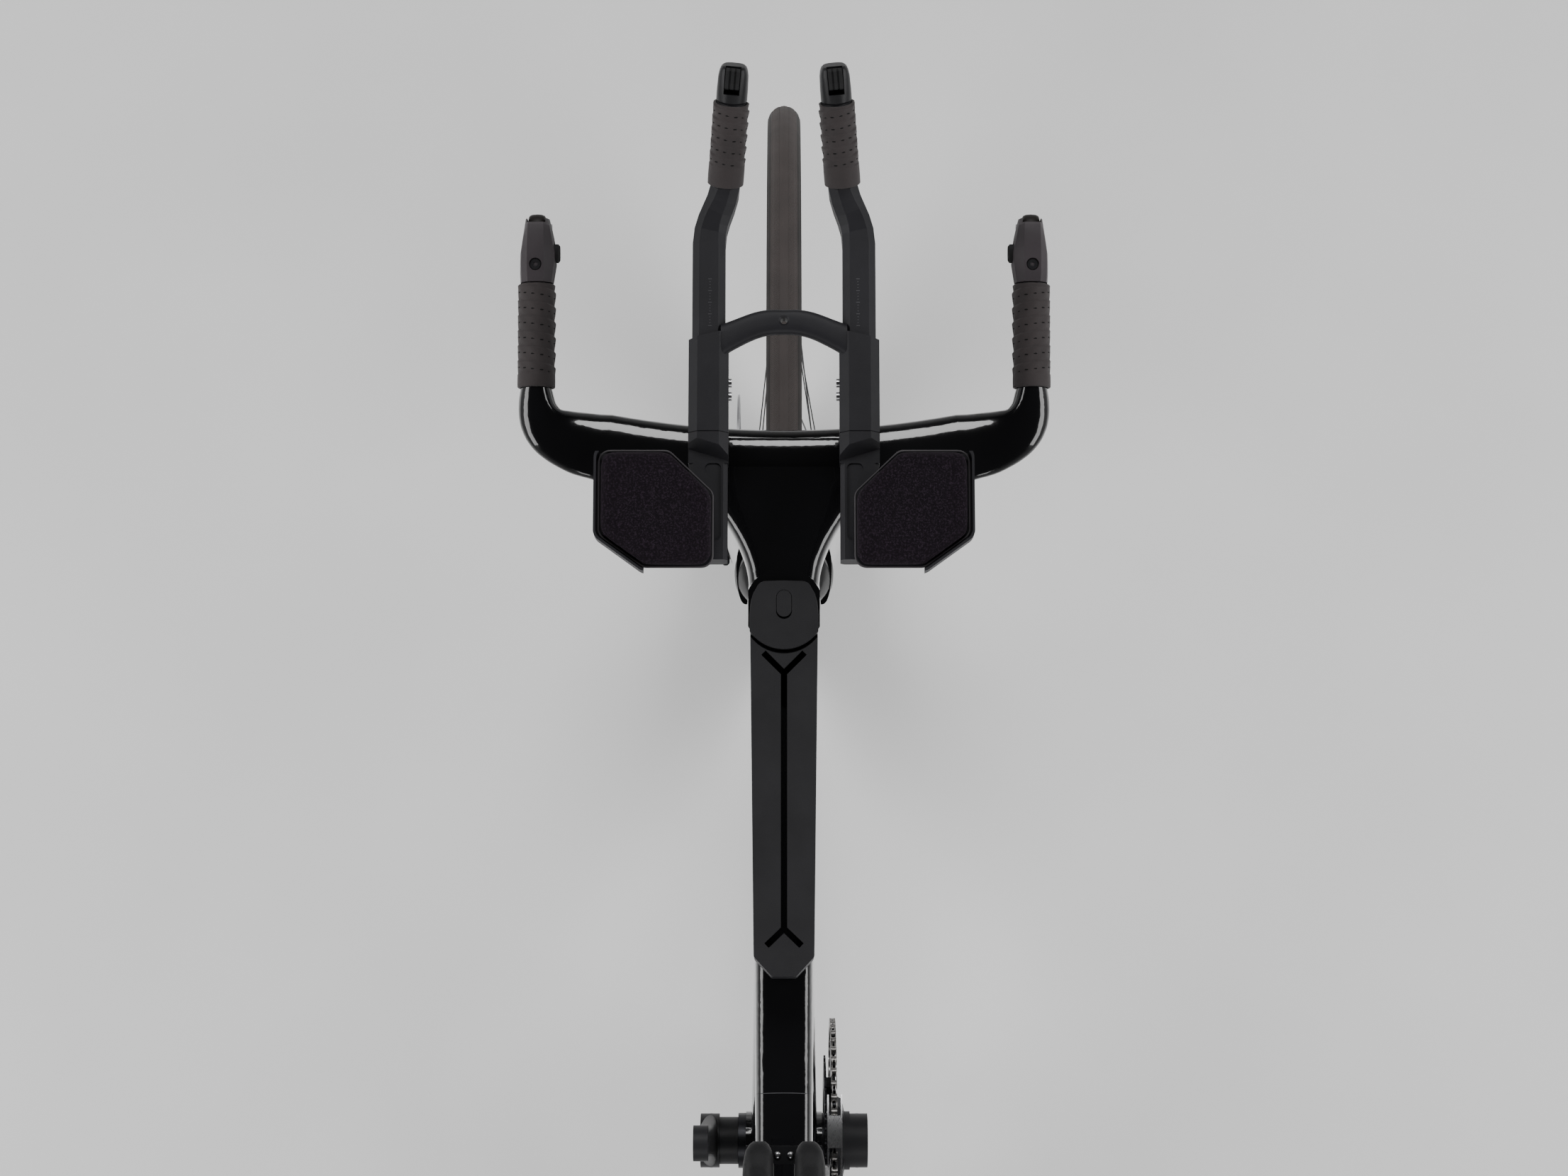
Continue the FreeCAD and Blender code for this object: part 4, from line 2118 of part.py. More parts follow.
def build_nodes():
    """Every node of the bike with its solids."""
    front_triangle = make_front_triangle()
    stays = make_rear_triangle(front_triangle)
    fork = make_fork()
    outer_link, inner_link = make_swing_links()
    nodes = {
        "frame_front_triangle": [front_triangle],
        "frame_rear_triangle": stays,
        "rear_thru_axle": [make_rear_axle()],
        "bento_box": [make_bento()],
        "bento_lid": [make_lid()],
        "seatpost_wedge": [make_wedge()],
        "frame_bearings": make_bottom_bracket() + make_headset(),
        "fd_body": [make_fd_body(front_triangle)],
        "fd_cage": [make_fd_cage()],
        "rear_caliper": make_rear_caliper(stays),
        "chain": make_chain(),
        "rd_b_knuckle": [make_upper_knuckle()],
        "rd_outer_link": [outer_link],
        "rd_inner_link": [inner_link],
        "rd_p_knuckle": [make_lower_knuckle()],
        "rd_cage": [make_cage()],
        "guide_pulley": [make_pulley(guide_centre())],
        "tension_pulley": [make_pulley(tension_centre())],
        "seatpost": [make_seatpost()],
        "saddle_clamp": make_saddle_clamp(),
        "saddle_shell": make_saddle_shell(),
        "saddle_pads": both_sides(make_saddle_pad()),
        "fork": [fork],
        "front_caliper": make_front_caliper(fork),
        "front_thru_axle": [make_front_axle()],
        "base_bar": [make_base_bar()],
        "stem_cap": make_stem_cap(),
        "basebar_grips": both_sides(make_grips()),
        "riser_pedestals": both_sides(make_pedestal()),
        "extension_bridge": [make_bridge()],
        "armrest_cradles": both_sides(make_cradle()),
        "armrest_pads": both_sides(make_pad()),
        "front_tyre": [make_tyre(front_axle)],
        "front_rim": make_rim(front_axle),
        "front_spokes": make_spokes(front_axle, front_spoke_count, front_flange_left, front_flange_right),
        "rear_tyre": [make_tyre(rear_axle)],
        "rear_rim": make_rim(rear_axle),
        "rear_spokes": make_spokes(rear_axle, rear_spoke_count, rear_flange_left, rear_flange_right),
        "front_rotor": [make_rotor(front_axle, front_rotor_side)],
        "rear_rotor": [make_rotor(rear_axle, rear_rotor_side)],
        "cassette": make_cassette(),
        "drive_crank": make_drive_crank(),
        "left_crank": [make_left_crank()],
        "chainrings": make_chainrings(),
    }
    front_half = front_hub_width / 2
    nodes["front_hub"] = [
        make_hub(front_axle, front_half, front_half, front_flange_left, front_flange_right, front_rotor_side),
        make_lockring(front_axle, front_rotor_side),
    ]
    rear_half = rear_hub_width / 2
    drive_end = -freehub_inner_side() - body_gap
    nodes["rear_hub"] = [
        make_hub(rear_axle, rear_half, drive_end, rear_flange_left, rear_flange_right, rear_rotor_side),
        make_lockring(rear_axle, rear_rotor_side),
    ]
    bolts = make_bolts()
    nodes["cockpit_bolts"] = bolts + [mirrored(bolt) for bolt in bolts]
    lever = make_lever_body()
    nodes["lever_bodies"] = lever + [mirrored(piece) for piece in lever]
    handed = {
        "brake_lever": make_brake_lever(),
        "basebar_shift_button": make_shift_button(),
        "extension_bar": make_extension_bar(),
        "extension_grip": make_extension_grip(),
        "shifter_pod": make_pod(),
        "pod_button": make_pod_button(),
    }
    for name, shape in handed.items():
        nodes[name + "_left"] = [shape]
        nodes[name + "_right"] = [mirrored(shape)]
    return nodes


def main():
    """Write one file for each node."""
    os.makedirs("parts", exist_ok=True)
    print("links", link_count, "cage angle", round(math.degrees(cage_angle), 2))
    for name, shapes in sorted(build_nodes().items()):
        solids = solids_of(shapes)
        bad = [solid for solid in solids if not solid.isValid()]
        print(name, "solids", len(solids), "bad", len(bad))
        Part.Compound(solids).exportStep(os.path.join("parts", name + ".step"))


main()
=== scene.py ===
import math

import bmesh
import bpy
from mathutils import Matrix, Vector


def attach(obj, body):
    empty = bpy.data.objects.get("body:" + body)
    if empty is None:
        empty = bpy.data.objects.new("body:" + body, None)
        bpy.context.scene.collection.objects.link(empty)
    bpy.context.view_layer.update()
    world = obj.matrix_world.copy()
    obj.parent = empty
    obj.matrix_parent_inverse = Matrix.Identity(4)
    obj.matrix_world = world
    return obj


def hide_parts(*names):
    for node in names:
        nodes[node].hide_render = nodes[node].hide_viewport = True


# Looks of the time trial bike, in metres: X forward, Y to the rider's left, Z up.

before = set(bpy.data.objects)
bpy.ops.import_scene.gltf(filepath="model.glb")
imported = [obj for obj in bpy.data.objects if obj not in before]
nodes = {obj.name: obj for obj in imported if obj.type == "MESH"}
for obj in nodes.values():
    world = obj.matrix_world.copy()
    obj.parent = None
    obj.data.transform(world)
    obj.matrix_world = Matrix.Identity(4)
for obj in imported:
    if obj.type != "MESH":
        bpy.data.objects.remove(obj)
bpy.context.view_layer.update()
scene = bpy.context.scene

MM = 0.001
LEFT = Vector((0, 1, 0))
UP = Vector((0, 0, 1))
WHEEL_RADIUS = 0.339
HALF_WHEELBASE = 0.497
FRONT_AXLE = Vector((HALF_WHEELBASE, 0, WHEEL_RADIUS))
REAR_AXLE = Vector((-HALF_WHEELBASE, 0, WHEEL_RADIUS))
SIDES = (("left", 1), ("right", -1))


# Materials

class Shader:
    """One material's node tree, with short calls for the nodes that the looks need."""

    def __init__(self, name, colour, roughness, metallic=0.0):
        self.material = bpy.data.materials.new(name)
        self.material.use_nodes = True
        self.tree = self.material.node_tree
        self.surface = self.tree.nodes["Principled BSDF"]
        self.set("Base Color", (*colour, 1))
        self.set("Roughness", roughness)
        self.set("Metallic", metallic)
        self.place = self.add("ShaderNodeTexCoord").outputs["Object"]

    def add(self, kind, **values):
        node = self.tree.nodes.new(kind)
        for key, value in values.items():
            setattr(node, key, value)
        return node

    def set(self, socket, value):
        self.surface.inputs[socket].default_value = value
        return self

    def link(self, start, end):
        self.tree.links.new(start, end)

    def math(self, operation, first, second=None):
        node = self.add("ShaderNodeMath", operation=operation)
        for socket, value in zip(node.inputs, (first, second)):
            if value is None:
                continue
            if isinstance(value, (int, float)):
                socket.default_value = value
            else:
                self.link(value, socket)
        return node.outputs[0]

    def noise(self, scale, detail=3.0, stretch=None):
        node = self.add("ShaderNodeTexNoise")
        node.inputs["Scale"].default_value = scale
        node.inputs["Detail"].default_value = detail
        self.link(self.stretched(stretch), node.inputs["Vector"])
        return node.outputs["Fac"]

    def cells(self, scale):
        node = self.add("ShaderNodeTexVoronoi")
        node.inputs["Scale"].default_value = scale
        self.link(self.place, node.inputs["Vector"])
        return node.outputs["Distance"]

    def stretched(self, stretch):
        if stretch is None:
            return self.place
        node = self.add("ShaderNodeMapping")
        node.inputs["Scale"].default_value = stretch
        self.link(self.place, node.inputs["Vector"])
        return node.outputs["Vector"]

    def tint(self, factor, low, high, start=0.35, end=0.65):
        """Colour that runs from low to high with a pattern."""
        ramp = self.add("ShaderNodeValToRGB")
        ramp.color_ramp.elements[0].position = start
        ramp.color_ramp.elements[1].position = end
        ramp.color_ramp.elements[0].color = (*low, 1)
        ramp.color_ramp.elements[1].color = (*high, 1)
        self.link(factor, ramp.inputs["Fac"])
        self.link(ramp.outputs["Color"], self.surface.inputs["Base Color"])
        return self

    def polish(self, factor, low, high):
        """Roughness that runs from low to high with a pattern."""
        span = self.add("ShaderNodeMapRange")
        span.inputs["To Min"].default_value = low
        span.inputs["To Max"].default_value = high
        self.link(factor, span.inputs["Value"])
        self.link(span.outputs["Result"], self.surface.inputs["Roughness"])
        return self

    def bump(self, height, strength, distance):
        """Fine relief from a pattern."""
        node = self.add("ShaderNodeBump")
        node.inputs["Strength"].default_value = strength
        node.inputs["Distance"].default_value = distance
        self.link(height, node.inputs["Height"])
        self.link(node.outputs["Normal"], self.surface.inputs["Normal"])
        return self

    def around(self, axle):
        """Angle round an axle, distance from it and place across, for turned and wheel patterns."""
        split = self.add("ShaderNodeSeparateXYZ")
        self.link(self.place, split.inputs["Vector"])
        ahead = self.math("SUBTRACT", split.outputs["X"], axle.x)
        above = self.math("SUBTRACT", split.outputs["Z"], axle.z)
        angle = self.math("ARCTAN2", above, ahead)
        square = self.math("ADD", self.math("MULTIPLY", ahead, ahead), self.math("MULTIPLY", above, above))
        return angle, self.math("SQRT", square), split.outputs["Y"]


def scaled(colour, share):
    """A colour made lighter or darker."""
    return tuple(value * share for value in colour)


def gloss_paint(name, colour):
    """Deep gloss lacquer: faint flow in the coat and the lightest unevenness in the black."""
    shader = Shader(name, colour, 0.16)
    shader.set("Coat Weight", 1.0).set("Coat Roughness", 0.035).set("Specular IOR Level", 0.2)
    shader.tint(shader.noise(7, 4), colour, scaled(colour, 1.7))
    shader.bump(shader.noise(160, 1), strength=0.035, distance=0.0004)
    return shader.material


def moulded(name, colour, roughness, grain, strength, sheen=0.0):
    """Moulded matte surface with a fine pebbled grain and slight shine from handling."""
    shader = Shader(name, colour, roughness)
    shader.set("Specular IOR Level", 0.24)
    if sheen:
        shader.set("Sheen Weight", sheen).set("Sheen Roughness", 0.5)
    shader.tint(shader.noise(26, 5), colour, scaled(colour, 1.35))
    shader.polish(shader.noise(14, 4), roughness - 0.07, roughness + 0.08)
    shader.bump(shader.noise(grain, 2), strength, distance=0.0003)
    return shader.material


def knit(name, colour):
    """Fine dense knit over foam: crossing ribs of yarn, pale flecks of fuzz and a soft sheen."""
    rib_pitch = 1.1 * MM
    shader = Shader(name, colour, 0.92)
    shader.set("Sheen Weight", 0.06).set("Sheen Roughness", 0.4).set("Specular IOR Level", 0.12)
    shader.set("Sheen Tint", (0.75, 0.62, 0.75, 1))
    flecks = shader.noise(760, 2)
    shader.tint(flecks, colour, scaled(colour, 4.2), start=0.47, end=0.74)
    split = shader.add("ShaderNodeSeparateXYZ")
    shader.link(shader.place, split.inputs["Vector"])
    rib = 2 * math.pi / rib_pitch
    along = shader.math("SINE", shader.math("MULTIPLY", split.outputs["X"], rib))
    across = shader.math("SINE", shader.math("MULTIPLY", split.outputs["Y"], rib))
    weave = shader.math("MULTIPLY", along, across)
    shader.bump(shader.math("ADD", weave, shader.noise(900, 3)), strength=0.5, distance=0.00035)
    return shader.material


def leather_like(name, colour):
    """Synthetic cover with fine pores."""
    shader = Shader(name, colour, 0.58)
    shader.set("Specular IOR Level", 0.24)
    shader.tint(shader.noise(60, 5), colour, scaled(colour, 1.6))
    shader.polish(shader.noise(40, 3), low=0.5, high=0.66)
    shader.bump(shader.cells(1400), strength=0.35, distance=0.0003)
    return shader.material


def metal(name, colour, low, high, stretch=None):
    """Bare or anodised metal with fine machining streaks and smudges."""
    streaks = 400
    shader = Shader(name, colour, (low + high) / 2, 1.0)
    shader.tint(shader.noise(30, 5), scaled(colour, 0.72), colour)
    shader.polish(shader.noise(streaks, 3, stretch), low, high)
    shader.bump(shader.noise(streaks * 3, 2, stretch), strength=0.06, distance=0.0001)
    return shader.material


def ground_disc(name, axle):
    """Brake rotor: circular grinding marks and smudges."""
    ring_pitch = 0.7 * MM
    shader = Shader(name, (0.5, 0.5, 0.51), 0.3, 1.0)
    reach = shader.around(axle)[1]
    rings = shader.math("SINE", shader.math("MULTIPLY", reach, 2 * math.pi / ring_pitch))
    wavy = shader.math("ADD", rings, shader.noise(120, 3))
    shader.tint(shader.noise(22, 4), (0.34, 0.34, 0.36), (0.56, 0.56, 0.57))
    shader.polish(wavy, low=0.2, high=0.42)
    shader.bump(wavy, strength=0.12, distance=0.0001)
    return shader.material


def tread(name, axle):
    """Tyre rubber: smooth middle, crossed file marks on both shoulders, dusty and brown-black."""
    mark_pitch = 1.9 * MM
    mark_start = 3.6 * MM
    mark_end = 10.5 * MM
    crown_half = 11.0 * MM
    crown_reach = 0.328
    mark_dust = 0.06
    cloud_dust = 0.4
    crown_dust = 0.45
    shader = Shader(name, (0.02, 0.017, 0.015), 0.72)
    shader.set("Specular IOR Level", 0.35)
    angle, reach, across = shader.around(axle)
    path = shader.math("MULTIPLY", angle, WHEEL_RADIUS)
    pitch = 2 * math.pi / mark_pitch
    first = shader.math("SINE", shader.math("MULTIPLY", shader.math("ADD", path, across), pitch))
    second = shader.math("SINE", shader.math("MULTIPLY", shader.math("SUBTRACT", path, across), pitch))
    file_marks = shader.math("MAXIMUM", first, second)
    out = shader.math("ABSOLUTE", across)
    inner = shader.math("GREATER_THAN", out, mark_start)
    outer = shader.math("LESS_THAN", out, mark_end)
    band = shader.math("MULTIPLY", inner, outer)
    marks = shader.math("MULTIPLY", file_marks, band)
    cloud = shader.math("MULTIPLY", shader.noise(45, 6), cloud_dust)
    dust = shader.math("ADD", shader.math("MULTIPLY", marks, mark_dust), cloud)
    near_middle = shader.math("LESS_THAN", out, crown_half)
    far_out = shader.math("GREATER_THAN", reach, crown_reach)
    worn = shader.math("MULTIPLY", near_middle, far_out)
    shade = shader.math("ADD", dust, shader.math("MULTIPLY", worn, crown_dust))
    shader.tint(shade, (0.0095, 0.0085, 0.0080), (0.078, 0.0650, 0.0625), start=0.1, end=0.9)
    shader.polish(shader.noise(90, 4), low=0.62, high=0.82)
    shader.bump(shader.math("ADD", marks, shader.noise(700, 2)), strength=0.55, distance=0.0004)
    return shader.material


def satin_carbon(name, axle):
    """Rim carbon under satin lacquer: faint fibre streaks that run round the hoop."""
    streak_length = 1.5
    streak_density = 260
    shader = Shader(name, (0.012, 0.012, 0.013), 0.32)
    shader.set("Coat Weight", 0.4).set("Coat Roughness", 0.22)
    angle, reach = shader.around(axle)[:2]
    merge = shader.add("ShaderNodeCombineXYZ")
    shader.link(shader.math("MULTIPLY", angle, streak_length), merge.inputs["X"])
    shader.link(shader.math("MULTIPLY", reach, streak_density), merge.inputs["Y"])
    noise = shader.add("ShaderNodeTexNoise")
    noise.inputs["Scale"].default_value = 2.0
    noise.inputs["Detail"].default_value = 6.0
    shader.link(merge.outputs["Vector"], noise.inputs["Vector"])
    streaks = noise.outputs["Fac"]
    shader.tint(streaks, (0.010, 0.010, 0.011), (0.022, 0.022, 0.024))
    shader.polish(streaks, low=0.27, high=0.42)
    shader.bump(streaks, strength=0.05, distance=0.0002)
    return shader.material


def floor_material():
    """Plain pale studio floor with the faintest mottle."""
    shader = Shader("studio_floor", (0.86, 0.86, 0.86), 0.75)
    shader.tint(shader.noise(3, 4), (0.84, 0.84, 0.84), (0.88, 0.88, 0.88))
    return shader.material


# Moulded surfaces have a colour, roughness, grain and its strength; metals a colour and a span of roughness.
GLOSS = gloss_paint("gloss_black", (0.0030, 0.0030, 0.0034))
MATTE = moulded("matte_grey", (0.0118, 0.0115, 0.0137), 0.50, 1600, 0.2)
ELASTOMER = moulded("soft_grey_cap", (0.0130, 0.0128, 0.0142), 0.60, 1300, 0.3)
TAPE = moulded("bar_tape", (0.0290, 0.0240, 0.0242), 0.70, 900, 0.5, sheen=0.1)
HOLES = moulded("tape_holes", (0.0035, 0.0035, 0.0035), 0.9, 900, 0.2)
SATIN = moulded("satin_black", (0.0085, 0.0085, 0.0095), 0.40, 1900, 0.15)
# Light grey for the printed setting marks, and also a painted highlight on the edge of the top tube's seam.
LIGHTER = moulded("satin_grey_marks_and_painted_seam_highlight", (0.05, 0.05, 0.054), 0.36, 1900, 0.15)
BUTTON = moulded("button_rubber", (0.010, 0.010, 0.0105), 0.62, 1200, 0.3)
CRANK = moulded("crank_grey", (0.014, 0.014, 0.0155), 0.46, 1500, 0.2)
FABRIC = knit("pad_knit", (0.0064, 0.0043, 0.0066))
# The light grey of the bead round the pads' lower seam is a painted highlight of their edge.
PAD_EDGE_HIGHLIGHT = moulded("pad_edge_painted_highlight", (0.045, 0.042, 0.045), 0.42, 1500, 0.15)
RESIN = moulded("lever_resin", (0.0350, 0.0300, 0.0330), 0.48, 1700, 0.15)
NOSE = moulded("lever_nose", (0.0105, 0.0082, 0.0072), 0.50, 1500, 0.2)
COVER = leather_like("saddle_cover", (0.0062, 0.0062, 0.0068))
ALLOY = metal("black_alloy", (0.040, 0.040, 0.044), 0.30, 0.45)
STEEL = metal("bright_steel", (0.50, 0.50, 0.51), 0.20, 0.38, stretch=(1, 6, 1))
CHAIN = metal("chain_steel", (0.30, 0.29, 0.28), 0.22, 0.42)
SPOKE = metal("black_spokes", (0.035, 0.035, 0.038), 0.25, 0.4)

FINISHES = {
    GLOSS: ("frame_front_triangle", "frame_rear_triangle", "seatpost_wedge", "seatpost", "fork", "base_bar"),
    MATTE: (
        "bento_box", "riser_pedestals", "extension_bridge", "extension_bar_left", "extension_bar_right",
        "armrest_cradles",
    ),
    ELASTOMER: ("bento_lid",),
    SATIN: (
        "fd_body", "rd_b_knuckle", "rd_p_knuckle", "guide_pulley", "tension_pulley", "saddle_shell",
        "brake_lever_left", "brake_lever_right",
    ),
    BUTTON: ("basebar_shift_button_left", "basebar_shift_button_right"),
    ALLOY: (
        "rear_thru_axle", "front_thru_axle", "frame_bearings", "rear_caliper", "front_caliper",
        "rd_outer_link", "rd_inner_link", "rd_cage", "saddle_clamp", "front_hub", "rear_hub", "chainrings",
    ),
    CRANK: ("drive_crank", "left_crank"),
    STEEL: ("fd_cage", "cassette", "cockpit_bolts"),
    CHAIN: ("chain",),
    SPOKE: ("front_spokes", "rear_spokes"),
    satin_carbon("front_rim_carbon", FRONT_AXLE): ("front_rim",),
    satin_carbon("rear_rim_carbon", REAR_AXLE): ("rear_rim",),
    ground_disc("front_disc", FRONT_AXLE): ("front_rotor",),
    ground_disc("rear_disc", REAR_AXLE): ("rear_rotor",),
}
for material, names in FINISHES.items():
    for name in names:
        for slot in nodes[name].material_slots:
            slot.material = material


# Mesh building

def closed_mesh(name, mesh_points, faces):
    """Mesh from points and faces, with every face turned outward."""
    mesh = bpy.data.meshes.new(name)
    mesh.from_pydata([tuple(point) for point in mesh_points], [], faces)
    mesh.validate()
    repair = bmesh.new()
    repair.from_mesh(mesh)
    bmesh.ops.recalc_face_normals(repair, faces=repair.faces)
    repair.to_mesh(mesh)
    repair.free()
    return mesh


def shade_smooth(mesh, smooth=True):
    """Smooth or faceted light on all faces."""
    for polygon in mesh.polygons:
        polygon.use_smooth = smooth


def piece(name, mesh_points, faces, material, body, smooth=True):
    """New object from points and faces, that rides on a body."""
    mesh = closed_mesh(name, mesh_points, faces)
    mesh.materials.append(material)
    shade_smooth(mesh, smooth)
    thing = bpy.data.objects.new(name, mesh)
    scene.collection.objects.link(thing)
    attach(thing, body)
    return thing


def grid_faces(rows, columns, close_rows=False, caps=False):
    """Faces of a grid of points whose rows are closed rings; the last row may join the first."""
    faces = []
    for row in range(rows if close_rows else rows - 1):
        here = row * columns
        after = (row + 1) % rows * columns
        for column in range(columns):
            beside = (column + 1) % columns
            faces.append((here + column, here + beside, after + beside, after + column))
    if caps:
        faces.append(tuple(range(columns)))
        faces.append(tuple((rows - 1) * columns + column for column in range(columns)))
    return faces


def side_frame(along):
    """Two directions square to a run: level to the side, and upward."""
    level = UP.cross(along)
    if level.length < 1e-6:
        level = LEFT.copy()
    level.normalize()
    return level, along.cross(level)


def round_spot(centre, level, upward, size, angle):
    """Point on a circle round a centre, in a run's two side directions."""
    return centre + level * (size * math.cos(angle)) + upward * (size * math.sin(angle))


def tube(name, path, radius, material, body, closed=False, around=10):
    """Round bead along a path of points."""
    points = []
    count = len(path)
    for k in range(count):
        before = path[k - 1] if k or closed else path[0]
        after = path[(k + 1) % count] if k < count - 1 or closed else path[-1]
        level, upward = side_frame((after - before).normalized())
        for m in range(around):
            points.append(round_spot(path[k], level, upward, radius, 2 * math.pi * m / around))
    faces = grid_faces(count, around, close_rows=closed, caps=not closed)
    return piece(name, points, faces, material, body)


def flipped(point, sign):
    """A left-hand point, or its twin on the right."""
    return Vector((point.x, point.y * sign, point.z))


def boxy(wave, power):
    """A sine or cosine bent by a power with its sign kept, which squares a circle off."""
    return math.copysign(abs(wave) ** power, wave)


def join_shapes(shapes):
    """One list of points and one of faces from several."""
    points = []
    faces = []
    for some_points, some_faces in shapes:
        offset = len(points)
        points.extend(some_points)
        faces.extend(tuple(index + offset for index in face) for face in some_faces)
    return points, faces


def block(centre, first, second, third, bevel):
    """Small bar with its upper edges cut, given by three half-length vectors; third points out."""
    cut_start = 0.4
    corners = []
    for height, shrink in ((-1.0, 1.0), (cut_start, 1.0), (1.0, 1.0 - bevel)):
        for one, two in ((-1, -1), (1, -1), (1, 1), (-1, 1)):
            corners.append(centre + first * (one * shrink) + second * (two * shrink) + third * height)
    return corners, grid_faces(3, 4, caps=True)


# Bar tape

TAPE_THICK = 1.15 * MM
LAP_LOW = 0.25
LAP_END = 0.9


def lap_height(share):
    """Height of the tape's face over the bar, at a share of the way across one turn."""
    return TAPE_THICK * (LAP_LOW + (1 - LAP_LOW) * min(1.0, share / LAP_END))


def wound_tape(name, start, along, length, radius, wraps, band, body, node, sign):
    """Tape wound in a spiral: each turn overlaps the last in a step, with a plain band at the end."""
    around = 72
    rows = 150
    band_drop = 0.25 * MM
    band_crown = 0.12 * MM
    edge_start = 0.93
    edge_width = 0.07
    edge_low = 0.35
    ripple = 0.18 * MM
    ripples = 7
    ripple_drift = 5
    end_draw = 0.6 * MM
    core = radius - 2.2 * MM
    level, upward = side_frame(along)
    step = (length - band) / wraps
    points = []
    for row in range(rows):
        reach = length * row / (rows - 1)
        for column in range(around):
            turn = column / around
            if reach < band:
                size = radius - band_drop + band_crown * math.sin(math.pi * reach / band)
            else:
                share = ((reach - band) / step + turn) % 1.0
                edge = 1.0 - max(0.0, (share - edge_start) / edge_width)
                size = radius - TAPE_THICK + lap_height(share) * (edge_low + (1 - edge_low) * edge)
                size += ripple * math.sin(ripples * 2 * math.pi * turn + ripple_drift * share)
            if row in (0, rows - 1):
                size -= end_draw
            spot = round_spot(start + along * reach, level, upward, size, 2 * math.pi * turn)
            points.append(flipped(spot, sign))
    for reach in (length, 0.0):
        for column in range(around):
            spot = round_spot(start + along * reach, level, upward, core, 2 * math.pi * column / around)
            points.append(flipped(spot, sign))
    faces = grid_faces(rows + 2, around, close_rows=True)
    tape = piece(name, points, faces, TAPE, body)
    holes = []
    per_turn = 13
    hole_share = 0.5
    hole_lift = 0.12 * MM
    margin = 1.2 * MM
    size = radius - TAPE_THICK + lap_height(hole_share) + hole_lift
    for turn_index in range(wraps + 1):
        for k in range(per_turn):
            turn = k / per_turn
            reach = band + step * (turn_index + hole_share - turn)
            if reach < band + margin or reach > length - margin:
                continue
            holes.append(pin_hole(start, along, level, upward, reach, 2 * math.pi * turn, size, sign))
    points, faces = join_shapes(holes)
    piece(name + "_holes", points, faces, HOLES, body, smooth=False)
    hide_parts(node)


def pin_hole(start, along, level, upward, reach, angle, size, sign):
    """One long perforation, as a shallow dished oval on the tape."""
    count = 8
    half_wide = 0.5 * MM
    half_long = 1.5 * MM
    sunk = 0.35 * MM
    floor_share = 0.55
    points = []
    for depth, share in ((0.0, 1.0), (sunk, floor_share)):
        for k in range(count):
            turn = 2 * math.pi * k / count
            travel = reach + half_wide * share * math.sin(turn)
            bend = angle + half_long * share * math.cos(turn) / size
            out = level * math.cos(bend) + upward * math.sin(bend)
            points.append(flipped(start + along * travel + out * (size - depth), sign))
    return points, grid_faces(2, count, caps=True)


HORN_ROOT = Vector((0.468, 0.186, 0.809))
HORN_ALONG = Vector((80, 0, 9)).normalized()
TIP_ROOT = Vector((0.604, 0.043, 0.885))
TIP_RISE = math.radians(35)
TIP_ALONG = Vector((math.cos(TIP_RISE), -0.08, math.sin(TIP_RISE))).normalized()
for side, sign in SIDES:
    wound_tape(
        "bar_tape_" + side, HORN_ROOT + HORN_ALONG * (1.5 * MM), HORN_ALONG, length=78 * MM, radius=14.4 * MM,
        wraps=6, band=10 * MM, body="steering", node="basebar_grips", sign=sign,
    )
    wound_tape(
        "tip_tape_" + side, TIP_ROOT + TIP_ALONG * (0.8 * MM), TIP_ALONG, length=61.2 * MM, radius=13.4 * MM,
        wraps=5, band=16 * MM, body="extension_" + side, node="extension_grip_" + side, sign=sign,
    )


# Tyres

def make_tyre(name, axle, body, node):
    """Tyre with a centre ridge, grooved band edges and a beaded side wall."""
    section = 14.5 * MM
    wall = 2.6 * MM
    sweep = math.radians(131)
    face_drop = 0.3 * MM
    ridge_half = 0.8 * MM
    grooves = (3.6 * MM, 11.0 * MM)
    groove_half = 0.5 * MM
    groove_drop = 0.65 * MM
    bead = 21 * MM
    bead_half = 0.8 * MM
    bead_drop = 0.05 * MM
    outer_steps = 72
    inner_steps = 24
    around = 240
    middle = WHEEL_RADIUS - section
    profile = []
    for k in range(outer_steps + 1):
        angle = -sweep + 2 * sweep * k / outer_steps
        reach = section * abs(angle)
        size = section - face_drop
        if reach < ridge_half:
            size = section
        elif any(abs(reach - groove) < groove_half for groove in grooves):
            size = section - groove_drop
        elif abs(reach - bead) < bead_half:
            size = section - bead_drop
        profile.append((size * math.sin(angle), middle + size * math.cos(angle)))
    inside = section - wall
    for k in range(inner_steps + 1):
        angle = sweep - 2 * sweep * k / inner_steps
        profile.append((inside * math.sin(angle), middle + inside * math.cos(angle)))
    points = []
    for row in range(around):
        turn = 2 * math.pi * row / around
        for across, reach in profile:
            points.append(axle + Vector((reach * math.cos(turn), across, reach * math.sin(turn))))
    faces = grid_faces(around, len(profile), close_rows=True)
    tyre = piece(name, points, faces, tread(name + "_rubber", axle), body)
    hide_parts(node)


make_tyre("front_tyre_tread", FRONT_AXLE, "front_wheel", "front_tyre")
make_tyre("rear_tyre_tread", REAR_AXLE, "rear_wheel", "rear_tyre")


# Arm pads

PAD_CORNERS = [(403, 133.5), (403, 82.5), (372, 50.5), (317, 50.5), (317, 100.5), (341, 133.5)]
PAD_ROUND = 8.0
PAD_LOW = 889 * MM
PAD_HIGH = 904 * MM
SEAM_DRAW = 0.6
SEAM_HEIGHT = PAD_LOW + 4.2 * MM


